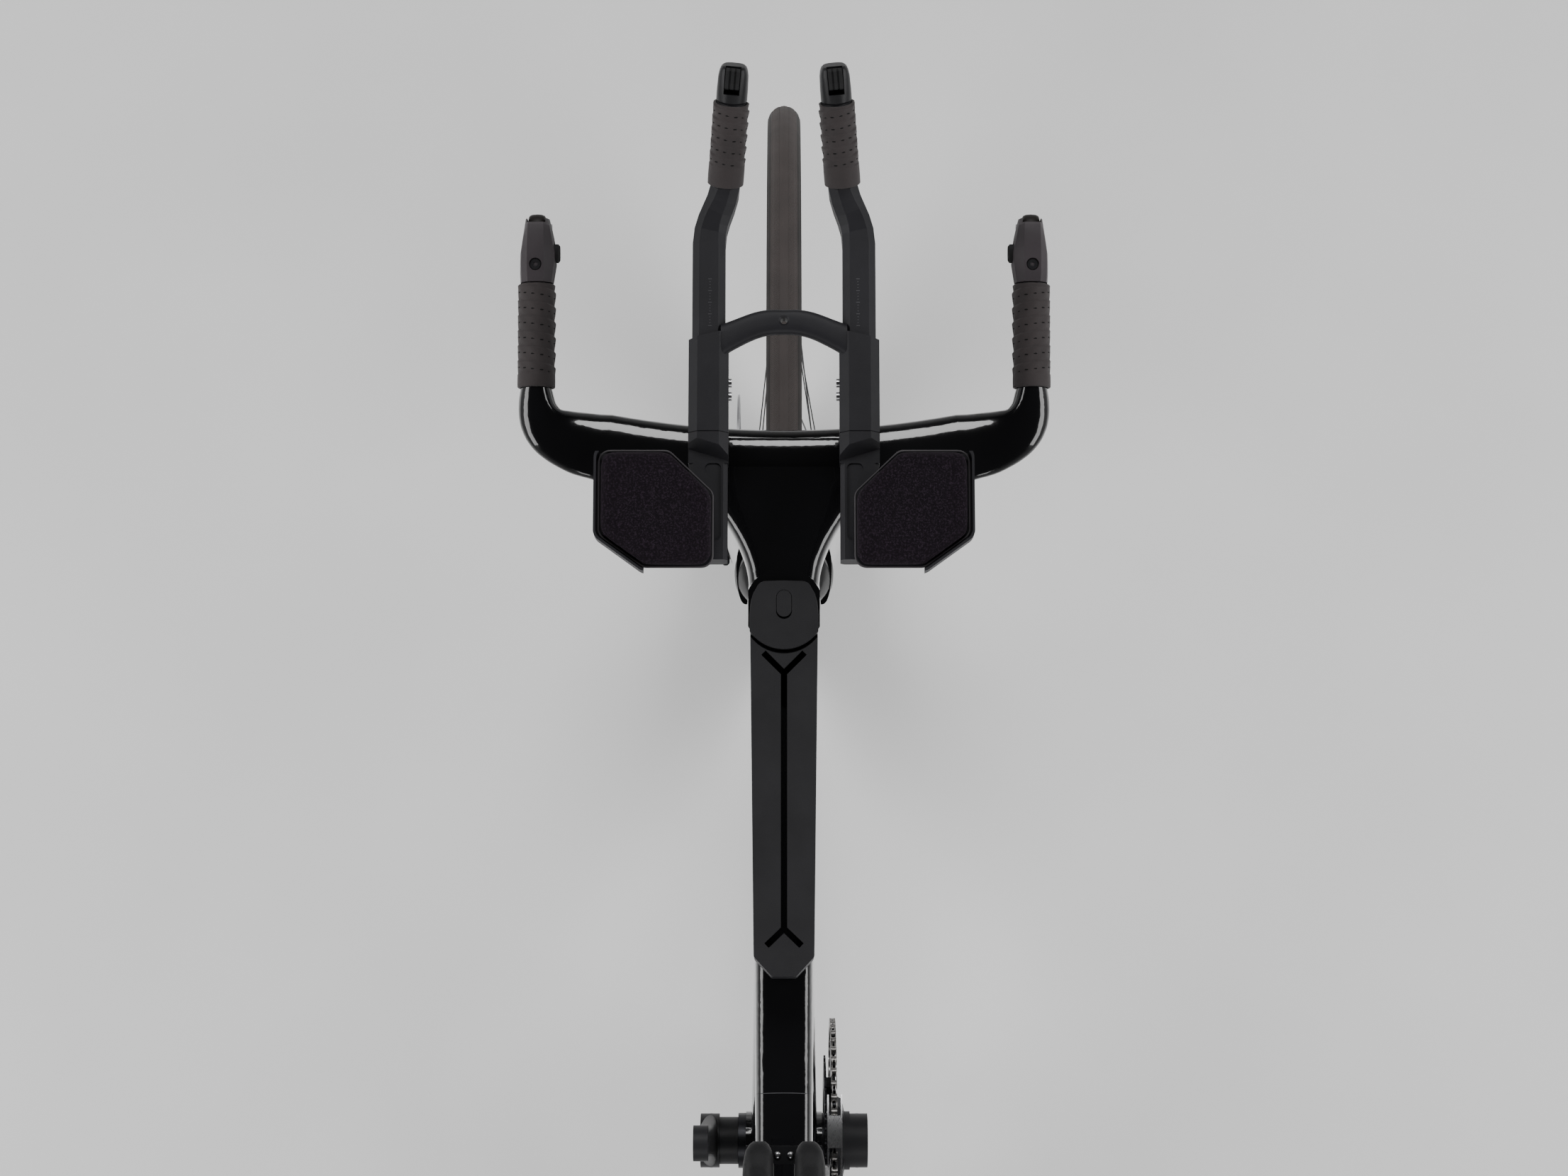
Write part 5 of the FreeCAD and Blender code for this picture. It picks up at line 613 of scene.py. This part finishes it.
def inset(corners, distance):
    """Corners of a convex outline, drawn in by a distance."""
    count = len(corners)
    middle = Vector([sum(values) / count for values in zip(*corners)])
    moved = []
    for k in range(count):
        here = Vector(corners[k])
        normals = []
        for run in (here - Vector(corners[k - 1]), Vector(corners[(k + 1) % count]) - here):
            normal = Vector((-run.y, run.x)).normalized()
            if normal.dot(middle - here) < 0:
                normal = -normal
            normals.append(normal)
        moved.append(here + (normals[0] + normals[1]) * (distance / (1 + normals[0].dot(normals[1]))))
    return moved


def outline(draw):
    """Closed outline of the pad, drawn in by a distance, with round corners, in metres."""
    per_corner = 7
    corners = inset(PAD_CORNERS, draw)
    count = len(corners)
    points = []
    for k in range(count):
        here = corners[k]
        before = (corners[k - 1] - here).normalized()
        after = (corners[(k + 1) % count] - here).normalized()
        half = before.angle(after) / 2
        centre = here + (before + after).normalized() * (PAD_ROUND / math.sin(half))
        start = here + before * (PAD_ROUND / math.tan(half)) - centre
        end = here + after * (PAD_ROUND / math.tan(half)) - centre
        sweep = start.angle(end)
        sense = 1 if start.x * end.y - start.y * end.x > 0 else -1
        for m in range(per_corner):
            turn = sense * sweep * m / (per_corner - 1)
            spot = Vector((
                start.x * math.cos(turn) - start.y * math.sin(turn),
                start.x * math.sin(turn) + start.y * math.cos(turn),
            ))
            points.append((centre + spot) * MM)
    return points


def inflate(thing, voxel, pressure, cap):
    """Cloth under pressure swells the cover, each point held to within a cap of where it was."""
    last_step = 20
    remesh = thing.modifiers.new("even_mesh", "REMESH")
    remesh.mode = "VOXEL"
    remesh.voxel_size = voxel
    bake_modifiers(thing)
    rest = [vertex.co.copy() for vertex in thing.data.vertices]
    cloth = thing.modifiers.new("cover", "CLOTH")
    cloth.settings.quality = 5
    cloth.settings.mass = 0.15
    cloth.settings.tension_stiffness = 30
    cloth.settings.compression_stiffness = 30
    cloth.settings.use_pressure = True
    cloth.settings.uniform_pressure_force = pressure
    cloth.settings.effector_weights.gravity = 0
    for step in range(1, last_step + 1):
        scene.frame_set(step)
    bake_modifiers(thing)
    scene.frame_set(1)
    for vertex, before in zip(thing.data.vertices, rest):
        move = vertex.co - before
        if move.length > cap:
            vertex.co = before + move * (cap / move.length)


def bake_modifiers(thing):
    """Turn what the modifiers make into the object's own mesh."""
    graph = bpy.context.evaluated_depsgraph_get()
    mesh = bpy.data.meshes.new_from_object(thing.evaluated_get(graph))
    thing.modifiers.clear()
    thing.data = mesh


def soften(thing, rounds):
    """Even out the small steps that remeshing leaves."""
    shape = bmesh.new()
    shape.from_mesh(thing.data)
    for step in range(rounds):
        bmesh.ops.smooth_vert(
            shape, verts=shape.verts, factor=0.5, use_axis_x=True, use_axis_y=True, use_axis_z=True
        )
    bmesh.ops.recalc_face_normals(shape, faces=shape.faces)
    shape.to_mesh(thing.data)
    shape.free()
    shade_smooth(thing.data)


def subdivide(thing):
    """One level of smooth subdivision."""
    modifier = thing.modifiers.new("smooth", "SUBSURF")
    modifier.levels = 1
    modifier.render_levels = 1
    bake_modifiers(thing)
    shade_smooth(thing.data)


def make_pad():
    """Left arm pad: a foam core in a knit cover, full at the sides and crowned on top."""
    levels = (
        (0.0, 3.0), (0.15, 1.6), (0.38, 1.3), (0.58, 1.8), (0.76, 3.2), (0.90, 5.4), (0.97, 8.0), (1.0, 14.0),
    )
    foot_gap = 0.4 * MM
    swell_room = 1.6 * MM
    points = []
    for share, draw in levels:
        height = PAD_LOW + foot_gap + (PAD_HIGH - PAD_LOW - swell_room) * share
        for spot in outline(draw):
            points.append(Vector((spot.x, spot.y, height)))
    columns = len(points) // len(levels)
    faces = grid_faces(len(levels), columns, caps=True)
    pad = piece("arm_pad_left", points, faces, FABRIC, "steering")
    inflate(pad, voxel=2.6 * MM, pressure=4.0, cap=1.6 * MM)
    soften(pad, rounds=6)
    dish_pad(pad)
    subdivide(pad)
    return pad


def depth_inside(x, y):
    """Distance of a point inside the pad's outline from its nearest side, in metres."""
    count = len(PAD_CORNERS)
    nearest = 1.0
    for k in range(count):
        start = Vector(PAD_CORNERS[k - 1]) * MM
        run = (Vector(PAD_CORNERS[k]) * MM - start).normalized()
        nearest = min(nearest, abs(run.x * (y - start.y) - run.y * (x - start.x)))
    return nearest


def dish_pad(pad):
    """A rolled rim all round, a hollow inside it where the forearm lies, and a flat underside."""
    rim = 7.0 * MM
    slope = 6.0 * MM
    hollow = 2.6 * MM
    top_side = PAD_LOW + 9 * MM
    sole = PAD_LOW + 0.2 * MM
    for vertex in pad.data.vertices:
        if vertex.co.z > top_side:
            share = min(1.0, max(0.0, (depth_inside(vertex.co.x, vertex.co.y) - rim) / slope))
            vertex.co.z -= hollow * share * share * (3 - 2 * share)
        vertex.co.z = max(vertex.co.z, sole)
        vertex.co.z = min(vertex.co.z, PAD_HIGH)


def mirror_piece(thing, name, body):
    """Right-hand twin of a left-hand piece."""
    points = [flipped(vertex.co, -1) for vertex in thing.data.vertices]
    faces = [tuple(polygon.vertices) for polygon in thing.data.polygons]
    return piece(name, points, faces, thing.data.materials[0], body)


pad_left = make_pad()
pad_right = mirror_piece(pad_left, "arm_pad_right", "steering")
for pad in (pad_left, pad_right):
    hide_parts("armrest_pads")
for side, sign in SIDES:
    # Bead round each pad along the cover's lower seam, coloured light grey as a painted highlight of its
    # edge.
    seam = [Vector((spot.x, sign * spot.y, SEAM_HEIGHT)) for spot in outline(SEAM_DRAW)]
    tube("pad_seam_highlight_" + side, seam, 0.75 * MM, PAD_EDGE_HIGHLIGHT, "steering", closed=True)


# Saddle

SADDLE_NOSE = -84.0
SADDLE_FLOOR = 958.0

# Left saddle arm: place behind the nose, middle, width and height, in millimetres.
SADDLE_ROWS = (
    (0.0, 16.5, 8.0, 9.0), (2.0, 16.6, 13.0, 14.0), (6.0, 16.8, 17.5, 18.5), (14.0, 17.0, 20.5, 22.0),
    (30.0, 17.2, 21.6, 23.5), (60.0, 17.6, 22.5, 24.5), (90.0, 19.0, 24.6, 25.2),
    (115.0, 21.5, 28.0, 25.5), (140.0, 27.0, 37.5, 25.8), (165.0, 33.5, 50.0, 26.0),
    (188.0, 38.0, 59.0, 25.8), (208.0, 40.0, 63.0, 25.0), (224.0, 39.5, 62.0, 23.2),
    (236.0, 38.2, 57.5, 19.8), (244.0, 37.0, 50.0, 15.0), (248.0, 36.0, 42.0, 10.5),
)


def between(rows, place):
    """Row values at a place, in a straight line from row to row."""
    for near, far in zip(rows, rows[1:]):
        if near[0] <= place <= far[0]:
            share = (place - near[0]) / (far[0] - near[0])
            return [low + (high - low) * share for low, high in zip(near, far)]
    return list(rows[-1])


def make_saddle_arm(side, sign):
    """Saddle pad with a crowned, ribbed top, drawn in under its edge."""
    around = 64
    power = 0.74
    top_side = 0.55
    top_half = 0.82
    rib_start = 8
    rib_end = 150
    rib_pitch = 5.2
    rib_slant = 0.9
    rib_depth = 0.45
    rib_fade = 12
    under_side = 0.2
    draw_in = 0.10
    places = [0.0, 1.0, 2.0, 4.0, 6.0, 9.0, 12.0]
    places.extend(15.0 + 1.6 * k for k in range(140))
    places.extend([240.0, 243.0, 246.0, 248.0])
    points = []
    for place in places:
        back, middle, wide, high = between(SADDLE_ROWS, place)
        for k in range(around):
            angle = 2 * math.pi * (k + 0.5) / around
            across = boxy(math.sin(angle), power)
            rise = boxy(math.cos(angle), power)
            y = middle + across * wide / 2
            z = SADDLE_FLOOR + high / 2 + rise * high / 2
            if rise > top_side and rib_start < place < rib_end and abs(across) < top_half:
                rib = math.sin(2 * math.pi * (place + (y - middle) * rib_slant) / rib_pitch)
                z -= rib_depth * max(0.0, rib) * min(1.0, (place - rib_start) / rib_fade)
            if rise < -under_side:
                y = middle + (y - middle) * (1 - draw_in * (-rise - under_side))
            points.append(Vector(((SADDLE_NOSE - back) * MM, sign * y * MM, z * MM)))
    faces = grid_faces(len(places), around, caps=True)
    return piece("saddle_arm_" + side, points, faces, COVER, "seatpost_group")


for side, sign in SIDES:
    arm = make_saddle_arm(side, sign)
    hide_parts("saddle_pads")


# Small details

def prism(first, second):
    """Closed shape between two outlines of equal count."""
    return list(first) + list(second), grid_faces(2, len(first), caps=True)


def carve(thing, shapes):
    """Cut closed shapes out of a piece."""
    for points, faces in shapes:
        cutter = bpy.data.objects.new("cutter", closed_mesh("cutter", points, faces))
        scene.collection.objects.link(cutter)
        modifier = thing.modifiers.new("cut", "BOOLEAN")
        modifier.operation = "DIFFERENCE"
        modifier.solver = "EXACT"
        modifier.object = cutter
        bake_modifiers(thing)
        bpy.data.objects.remove(cutter)


def ease_edges(thing, width):
    """Round a piece's sharp edges a little, and keep its flat faces flat in the light."""
    bevel = thing.modifiers.new("edges", "BEVEL")
    bevel.width = width
    bevel.segments = 2
    bevel.limit_method = "ANGLE"
    bevel.angle_limit = math.radians(22)
    thing.modifiers.new("even_light", "WEIGHTED_NORMAL")
    shade_smooth(thing.data)
    bake_modifiers(thing)


LEVER_FOOT = HORN_ROOT + HORN_ALONG * (80.3 * MM)
LEVER_SIDE, LEVER_UP = side_frame(HORN_ALONG)
LEVER_PIN = (44.0, -3.0)
LEVER_BUTTON = (22.7, 2.0)
BLEED_REACH = 12.7
TIP_SIDE, TIP_UP = side_frame(TIP_ALONG)
POD_FOOT = TIP_ROOT + TIP_ALONG * (63 * MM)


def lever_spot(reach, across, rise, sign):
    """Point on a lever body, in millimetres along its horn, outward and upward."""
    spot = LEVER_FOOT + HORN_ALONG * (reach * MM) + LEVER_SIDE * (across * MM) + LEVER_UP * (rise * MM)
    return flipped(spot, sign)


def lever_box(reach, across, rise, sign):
    """Box in a lever body's own directions, from three pairs of limits."""
    outlines = []
    for place in reach:
        corners = ((0, 0), (1, 0), (1, 1), (0, 1))
        outlines.append([lever_spot(place, across[one], rise[two], sign) for one, two in corners])
    return prism(*outlines)


def lever_pocket(sign):
    """Room round the shift button on the inner flank."""
    count = 32
    power = 0.77
    half_long = 7.5
    half_high = 5.0
    outlines = []
    for across in (-10.0, -24.0):
        ring = []
        for k in range(count):
            angle = 2 * math.pi * k / count
            reach = boxy(math.cos(angle), power) * half_long
            rise = boxy(math.sin(angle), power) * half_high
            ring.append(lever_spot(LEVER_BUTTON[0] + reach, across, LEVER_BUTTON[1] + rise, sign))
        outlines.append(ring)
    return prism(*outlines)


def lever_ring(radius, rise, sign, corners=40):
    """Circle round the bleed screw at a height, or a polygon with few corners."""
    ring = []
    for k in range(corners):
        angle = 2 * math.pi * k / corners
        reach = BLEED_REACH + radius * math.cos(angle)
        ring.append(lever_spot(reach, radius * math.sin(angle), rise, sign))
    return ring


# Lever body: place along the horn, outer and inner half width, height, depth and the panel's half width.
LEVER_ROWS = (
    (0.0, 12.2, 13.0, 13.8, 13.8, 5.9),
    (6.0, 12.5, 14.0, 14.8, 14.8, 6.3),
    (14.0, 12.6, 15.2, 15.8, 15.8, 6.3),
    (22.7, 12.4, 15.2, 16.3, 16.2, 6.3),
    (34.0, 10.8, 13.2, 15.9, 15.4, 6.2),
    (43.0, 9.4, 11.2, 14.4, 13.6, 5.9),
    (48.8, 8.6, 9.6, 11.6, 10.6, 5.4),
)


def make_lever_body(side, sign):
    """Lever body: flat top panel, a flank that swells inward round the button, and a slotted nose."""
    shoulder = 0.88
    shoulder_drop = 5.5
    waist_rise = 1.5
    hip = 0.84
    hip_drop = 0.66
    keel = 0.8
    slot = (-7.0, 7.0)
    mouth_start = 33.4
    mouth_top = 7.0
    nose_start = 45.0
    nose_floor = -1.0
    far_ahead = 60.0
    far_off = 40.0
    well = 4.7
    well_floor = 14.2
    well_top = 24.0
    points = []
    for reach, outer, inner, top, bottom, panel in LEVER_ROWS:
        section = (
            (panel, top), (shoulder * outer, top - shoulder_drop), (outer, waist_rise),
            (hip * outer, -hip_drop * bottom), (keel * panel, -bottom), (-keel * panel, -bottom),
            (-hip * inner, -hip_drop * bottom), (-inner, waist_rise),
            (-shoulder * inner, top - shoulder_drop), (-panel, top),
        )
        points.extend(lever_spot(reach, across, rise, sign) for across, rise in section)
    faces = grid_faces(len(LEVER_ROWS), len(section), caps=True)
    body = piece("lever_housing_" + side, points, faces, RESIN, "steering")
    carve(body, [
        lever_box((mouth_start, far_ahead), slot, (-far_off, mouth_top), sign),
        lever_box((nose_start, far_ahead), slot, (nose_floor, far_off), sign),
        lever_pocket(sign),
        prism(lever_ring(well, well_floor, sign), lever_ring(well, well_top, sign)),
    ])
    ease_edges(body, 0.55 * MM)
    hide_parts("lever_bodies")


def make_lever_nose(side, sign):
    """Round root of the brake lever, turned about its pin, that shows as the nose of the lever body."""
    profile = (
        (-6.3, 2.4), (-6.3, 7.0), (-5.6, 8.3), (-3.6, 9.1), (0.0, 9.4),
        (3.6, 9.1), (5.6, 8.3), (6.3, 7.0), (6.3, 2.4),
    )
    around = 56
    pin_radius = 2.0 * MM
    pin_ends = (-11.2, 9.5)
    points = []
    for k in range(around):
        angle = 2 * math.pi * k / around
        for across, radius in profile:
            reach = LEVER_PIN[0] + radius * math.cos(angle)
            points.append(lever_spot(reach, across, LEVER_PIN[1] + radius * math.sin(angle), sign))
    faces = grid_faces(around, len(profile), close_rows=True)
    piece("lever_nose_" + side, points, faces, NOSE, "brake_lever_" + side)
    pin = [lever_spot(LEVER_PIN[0], across, LEVER_PIN[1], sign) for across in pin_ends]
    tube("lever_pin_" + side, pin, pin_radius, STEEL, "steering", around=24)


def make_bleed_screw(side, sign):
    """Screw with a six-sided socket, sunk in the top panel."""
    head = 4.1
    head_low = 13.4
    head_top = 14.9
    socket = 1.7
    socket_floor = 14.0
    socket_top = 16.0
    points, faces = prism(lever_ring(head, head_low, sign), lever_ring(head, head_top, sign))
    screw = piece("bleed_screw_" + side, points, faces, SATIN, "steering")
    carve(screw, [prism(lever_ring(socket, socket_floor, sign, 6), lever_ring(socket, socket_top, sign, 6))])
    ease_edges(screw, 0.3 * MM)


def pod_spot(reach, across, rise, sign):
    """Point on a shifter pod, in millimetres along the tip, to the side and upward."""
    spot = POD_FOOT + TIP_ALONG * (reach * MM) + TIP_SIDE * (across * MM) + TIP_UP * (rise * MM)
    return flipped(spot, sign)


def make_pod(side, sign):
    """Shifter pod: a cap with soft front corners and an open channel for its button."""
    rows = (
        (0.0, 11.3), (1.2, 12.1), (9.0, 12.1), (19.0, 11.7),
        (23.0, 11.0), (25.4, 9.9), (26.6, 8.4), (27.0, 6.6),
    )
    around = 48
    squareness = 0.9
    square_from = 18
    fullness = 0.93
    channel_half = 5.7
    channel_floor = 4.5
    channel_top = 30.0
    points = []
    for reach, radius in rows:
        power = 2 / (2.0 + squareness * min(1.0, reach / square_from))
        for k in range(around):
            angle = 2 * math.pi * (k + 0.5) / around
            across = boxy(math.cos(angle), power)
            rise = boxy(math.sin(angle), power)
            points.append(pod_spot(reach, radius * across * fullness, radius * rise * fullness, sign))
    faces = grid_faces(len(rows), around, caps=True)
    pod = piece("pod_cap_" + side, points, faces, SATIN, "extension_" + side)
    corners = (
        (-channel_half, channel_floor), (channel_half, channel_floor),
        (channel_half, channel_top), (-channel_half, channel_top),
    )
    channel = []
    for reach in (7.4, 40.0):
        channel.append([pod_spot(reach, across, rise, sign) for across, rise in corners])
    carve(pod, [prism(*channel)])
    ease_edges(pod, 0.4 * MM)
    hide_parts("shifter_pod_" + side)


def make_pod_button(side, sign):
    """Shift button with three long ribs, which comes through the pod's end."""
    rows = ((10.8, 9.4), (11.8, 10.6), (16.0, 11.0), (21.0, 10.4), (24.4, 9.2), (26.0, 7.8))
    low = 6.2
    edge = 5.2
    edge_cut = 0.4
    edge_drop = 0.5
    groove_depth = 0.9
    groove_half = 0.75
    groove_floor = 0.5
    points = []
    for reach, top in rows:
        section = [(-edge, low), (-edge, top - edge_drop), (edge_cut - edge, top)]
        for middle in (-1.9, 1.9):
            section.append((middle - groove_half, top))
            section.append((middle - groove_floor, top - groove_depth))
            section.append((middle + groove_floor, top - groove_depth))
            section.append((middle + groove_half, top))
        section.extend([(edge - edge_cut, top), (edge, top - edge_drop), (edge, low)])
        points.extend(pod_spot(reach, across, rise, sign) for across, rise in section)
    faces = grid_faces(len(rows), len(section), caps=True)
    body = "pod_button_" + side
    button = piece("pod_button_ribbed_" + side, points, faces, BUTTON, body, smooth=False)
    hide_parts("pod_button_" + side)


CAP_AXIS = 300.15
CAP_LOW = 814.3
CAP_TOP = 820.0
CAP_HALF = 25.4
CAP_ROUND = 30.5


def cap_ring(height):
    """Outline of the stem cap from above: a nearly flat front with soft corners, and a round back."""
    corner = 7.0
    corner_in = 0.4
    front = 321.0
    front_half = 20.5
    back_steps = 14
    corner_steps = 8
    swing = math.asin(CAP_HALF / CAP_ROUND)
    half = []
    for k in range(back_steps + 1):
        angle = swing * k / back_steps
        half.append((CAP_AXIS - CAP_ROUND * math.cos(angle), CAP_ROUND * math.sin(angle)))
    for ahead, draw in ((-4.0, 0.0), (5.0, 0.9), (11.0, 2.6)):
        half.append((CAP_AXIS + ahead, CAP_HALF - draw))
    for k in range(corner_steps + 1):
        angle = math.radians(20 + 70 * k / corner_steps)
        ahead = front - corner + corner * math.sin(angle) - corner_in
        half.append((ahead, front_half - corner + corner * math.cos(angle)))
    half.append((front, 0.0))
    points = [Vector((x, y, height)) * MM for x, y in half]
    points.extend(Vector((x, -y, height)) * MM for x, y in reversed(half[1:-1]))
    return points


def plug_ring(height, half, run, centre):
    """Outline with straight sides and round ends, for the plug and its hole."""
    count = 48
    ring = []
    for k in range(count):
        angle = 2 * math.pi * (k + 0.5) / count
        reach = centre + math.copysign(run, math.cos(angle)) + half * math.cos(angle)
        ring.append(Vector((reach, half * math.sin(angle), height)) * MM)
    return ring


def make_stem_cap():
    """Soft cap on the stem, and its plug, which leaves a finger gap behind it."""
    middle = CAP_AXIS + 3.0
    floor = CAP_TOP - 3.0
    plug_ahead = 0.7
    points, faces = prism(cap_ring(CAP_LOW), cap_ring(CAP_TOP))
    cap = piece("stem_cap_cover", points, faces, ELASTOMER, "steering")
    hole = [plug_ring(height, half=5.8, run=5.0, centre=middle) for height in (floor, CAP_TOP + 3.0)]
    carve(cap, [prism(*hole)])
    ease_edges(cap, 0.5 * MM)
    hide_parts("stem_cap")
    centre = middle + plug_ahead
    sides = [plug_ring(height, half=5.5, run=4.5, centre=centre) for height in (floor, CAP_TOP - 0.1)]
    points, faces = prism(*sides)
    plug = piece("cap_plug", points, faces, ELASTOMER, "steering")
    ease_edges(plug, 0.35 * MM)


def extension_ticks():
    """Row of fine setting marks along the top of each extension: a long one, then three dots."""
    count = 17
    first = 0.4985
    pitch = 0.0022
    across = 0.054
    height = 0.8815
    long_half = 1.35
    dot_half = 0.35
    run = Vector((0.25 * MM, 0, 0))
    rise = Vector((0, 0, 0.10 * MM))
    for side, sign in SIDES:
        shapes = []
        for k in range(count):
            half = long_half if k % 4 == 0 else dot_half
            centre = Vector((first + pitch * k, across, height))
            shapes.append(block(centre, Vector((0, half * MM, 0)), run, rise, 0.2))
        points, faces = join_shapes(shapes)
        points = [flipped(point, sign) for point in points]
        body = "extension_" + side
        piece("setting_marks_" + side, points, faces, LIGHTER, body, smooth=False)


def nose_screws():
    """Bright domed heads on the two screws of the saddle's nose bridge."""
    around = 24
    place = -93.0
    apart = 4.4
    rows = ((2.4, 957.8), (2.4, 958.9), (2.0, 959.7), (1.1, 960.1))
    for side, sign in SIDES:
        middle = Vector((place, sign * apart, 0))
        points = []
        for radius, height in rows:
            for k in range(around):
                angle = 2 * math.pi * k / around
                spot = middle + Vector((radius * math.cos(angle), radius * math.sin(angle), height))
                points.append(spot * MM)
        faces = grid_faces(len(rows), around, caps=True)
        piece("nose_screw_" + side, points, faces, STEEL, "seatpost_group")


def seam_line():
    """Painted highlight: a thin light grey bead along the clamp cover's curved seam on the top tube, for the
    light that its fine edge catches.
    """
    front = -52.0
    bow = 3.0
    bow_half = 46.0
    reach = 17.0
    height = 771.95
    half_steps = 6
    path = []
    for k in range(2 * half_steps + 1):
        across = reach * (k / half_steps - 1)
        path.append(Vector((front - bow * (across / bow_half) ** 2, across, height)) * MM)
    tube("wedge_seam_painted_highlight", path, 0.3 * MM, LIGHTER, "frame", around=8)


for side, sign in SIDES:
    make_lever_body(side, sign)
    make_lever_nose(side, sign)
    make_bleed_screw(side, sign)
    make_pod(side, sign)
    make_pod_button(side, sign)
make_stem_cap()
extension_ticks()
nose_screws()
seam_line()


# Studio

def area_light(name, place, target, wide, tall, power):
    """Soft box aimed at a point."""
    data = bpy.data.lights.new(name, "AREA")
    data.shape = "RECTANGLE"
    data.size = wide
    data.size_y = tall
    data.energy = power
    light = bpy.data.objects.new(name, data)
    light.location = place
    light.rotation_euler = (Vector(target) - Vector(place)).to_track_quat("-Z", "Y").to_euler()
    light.visible_camera = False
    scene.collection.objects.link(light)


def front_light(height, strength, spread):
    """Even light from high in front, which reaches the whole floor; height and spread in degrees."""
    data = bpy.data.lights.new("front_light", "SUN")
    data.energy = strength
    data.angle = math.radians(spread)
    light = bpy.data.objects.new("front_light", data)
    travel = Vector((-math.cos(math.radians(height)), 0, -math.sin(math.radians(height))))
    light.rotation_euler = travel.to_track_quat("-Z", "Y").to_euler()
    scene.collection.objects.link(light)


def pale_horizon(low, high, rise):
    """Surroundings that are pale at the horizon and dark overhead."""
    world = bpy.data.worlds.new("studio")
    scene.world = world
    world.use_nodes = True
    tree = world.node_tree
    background = tree.nodes["Background"]
    background.inputs["Color"].default_value = (1, 1, 1, 1)
    place = tree.nodes.new("ShaderNodeTexCoord")
    split = tree.nodes.new("ShaderNodeSeparateXYZ")
    span = tree.nodes.new("ShaderNodeMapRange")
    span.inputs["From Max"].default_value = rise
    span.inputs["To Min"].default_value = low
    span.inputs["To Max"].default_value = high
    tree.links.new(place.outputs["Generated"], split.inputs["Vector"])
    tree.links.new(split.outputs["Z"], span.inputs["Value"])
    tree.links.new(span.outputs["Result"], background.inputs["Strength"])


def make_floor():
    """Large pale floor under the wheels."""
    half = 14.0
    drop = 0.0004
    mesh = bpy.data.meshes.new("studio_floor")
    corners = [(-half, -half, -drop), (half, -half, -drop), (half, half, -drop), (-half, half, -drop)]
    mesh.from_pydata(corners, [], [(0, 1, 2, 3)])
    mesh.materials.append(floor_material())
    floor = bpy.data.objects.new("studio_floor", mesh)
    scene.collection.objects.link(floor)


make_floor()
for side, sign in SIDES:
    area_light(side + "_box", (0.10, sign * 2.2, 1.9), (0.15, 0, 0.75), wide=3.0, tall=1.1, power=54)
area_light("rear_fill", (-2.4, 0, 1.9), (0, 0, 0.7), wide=2.2, tall=0.9, power=26)
front_light(height=50, strength=1.3, spread=24)
pale_horizon(low=0.5, high=0.03, rise=0.5)

# Camera above the saddle, tipped forward from straight down.
SENSOR_WIDTH = 36.0
FOCAL_PIXELS = 4107
IMAGE_WIDTH = 2212
TILT = math.radians(9.92)
camera_data = bpy.data.cameras.new("camera")
camera_data.sensor_width = SENSOR_WIDTH
camera_data.lens = SENSOR_WIDTH * FOCAL_PIXELS / IMAGE_WIDTH
camera = bpy.data.objects.new("camera", camera_data)
camera.location = (-0.055, 0, 2.937)
camera.rotation_euler = (TILT, 0, math.radians(-90))
scene.collection.objects.link(camera)
scene.camera = camera
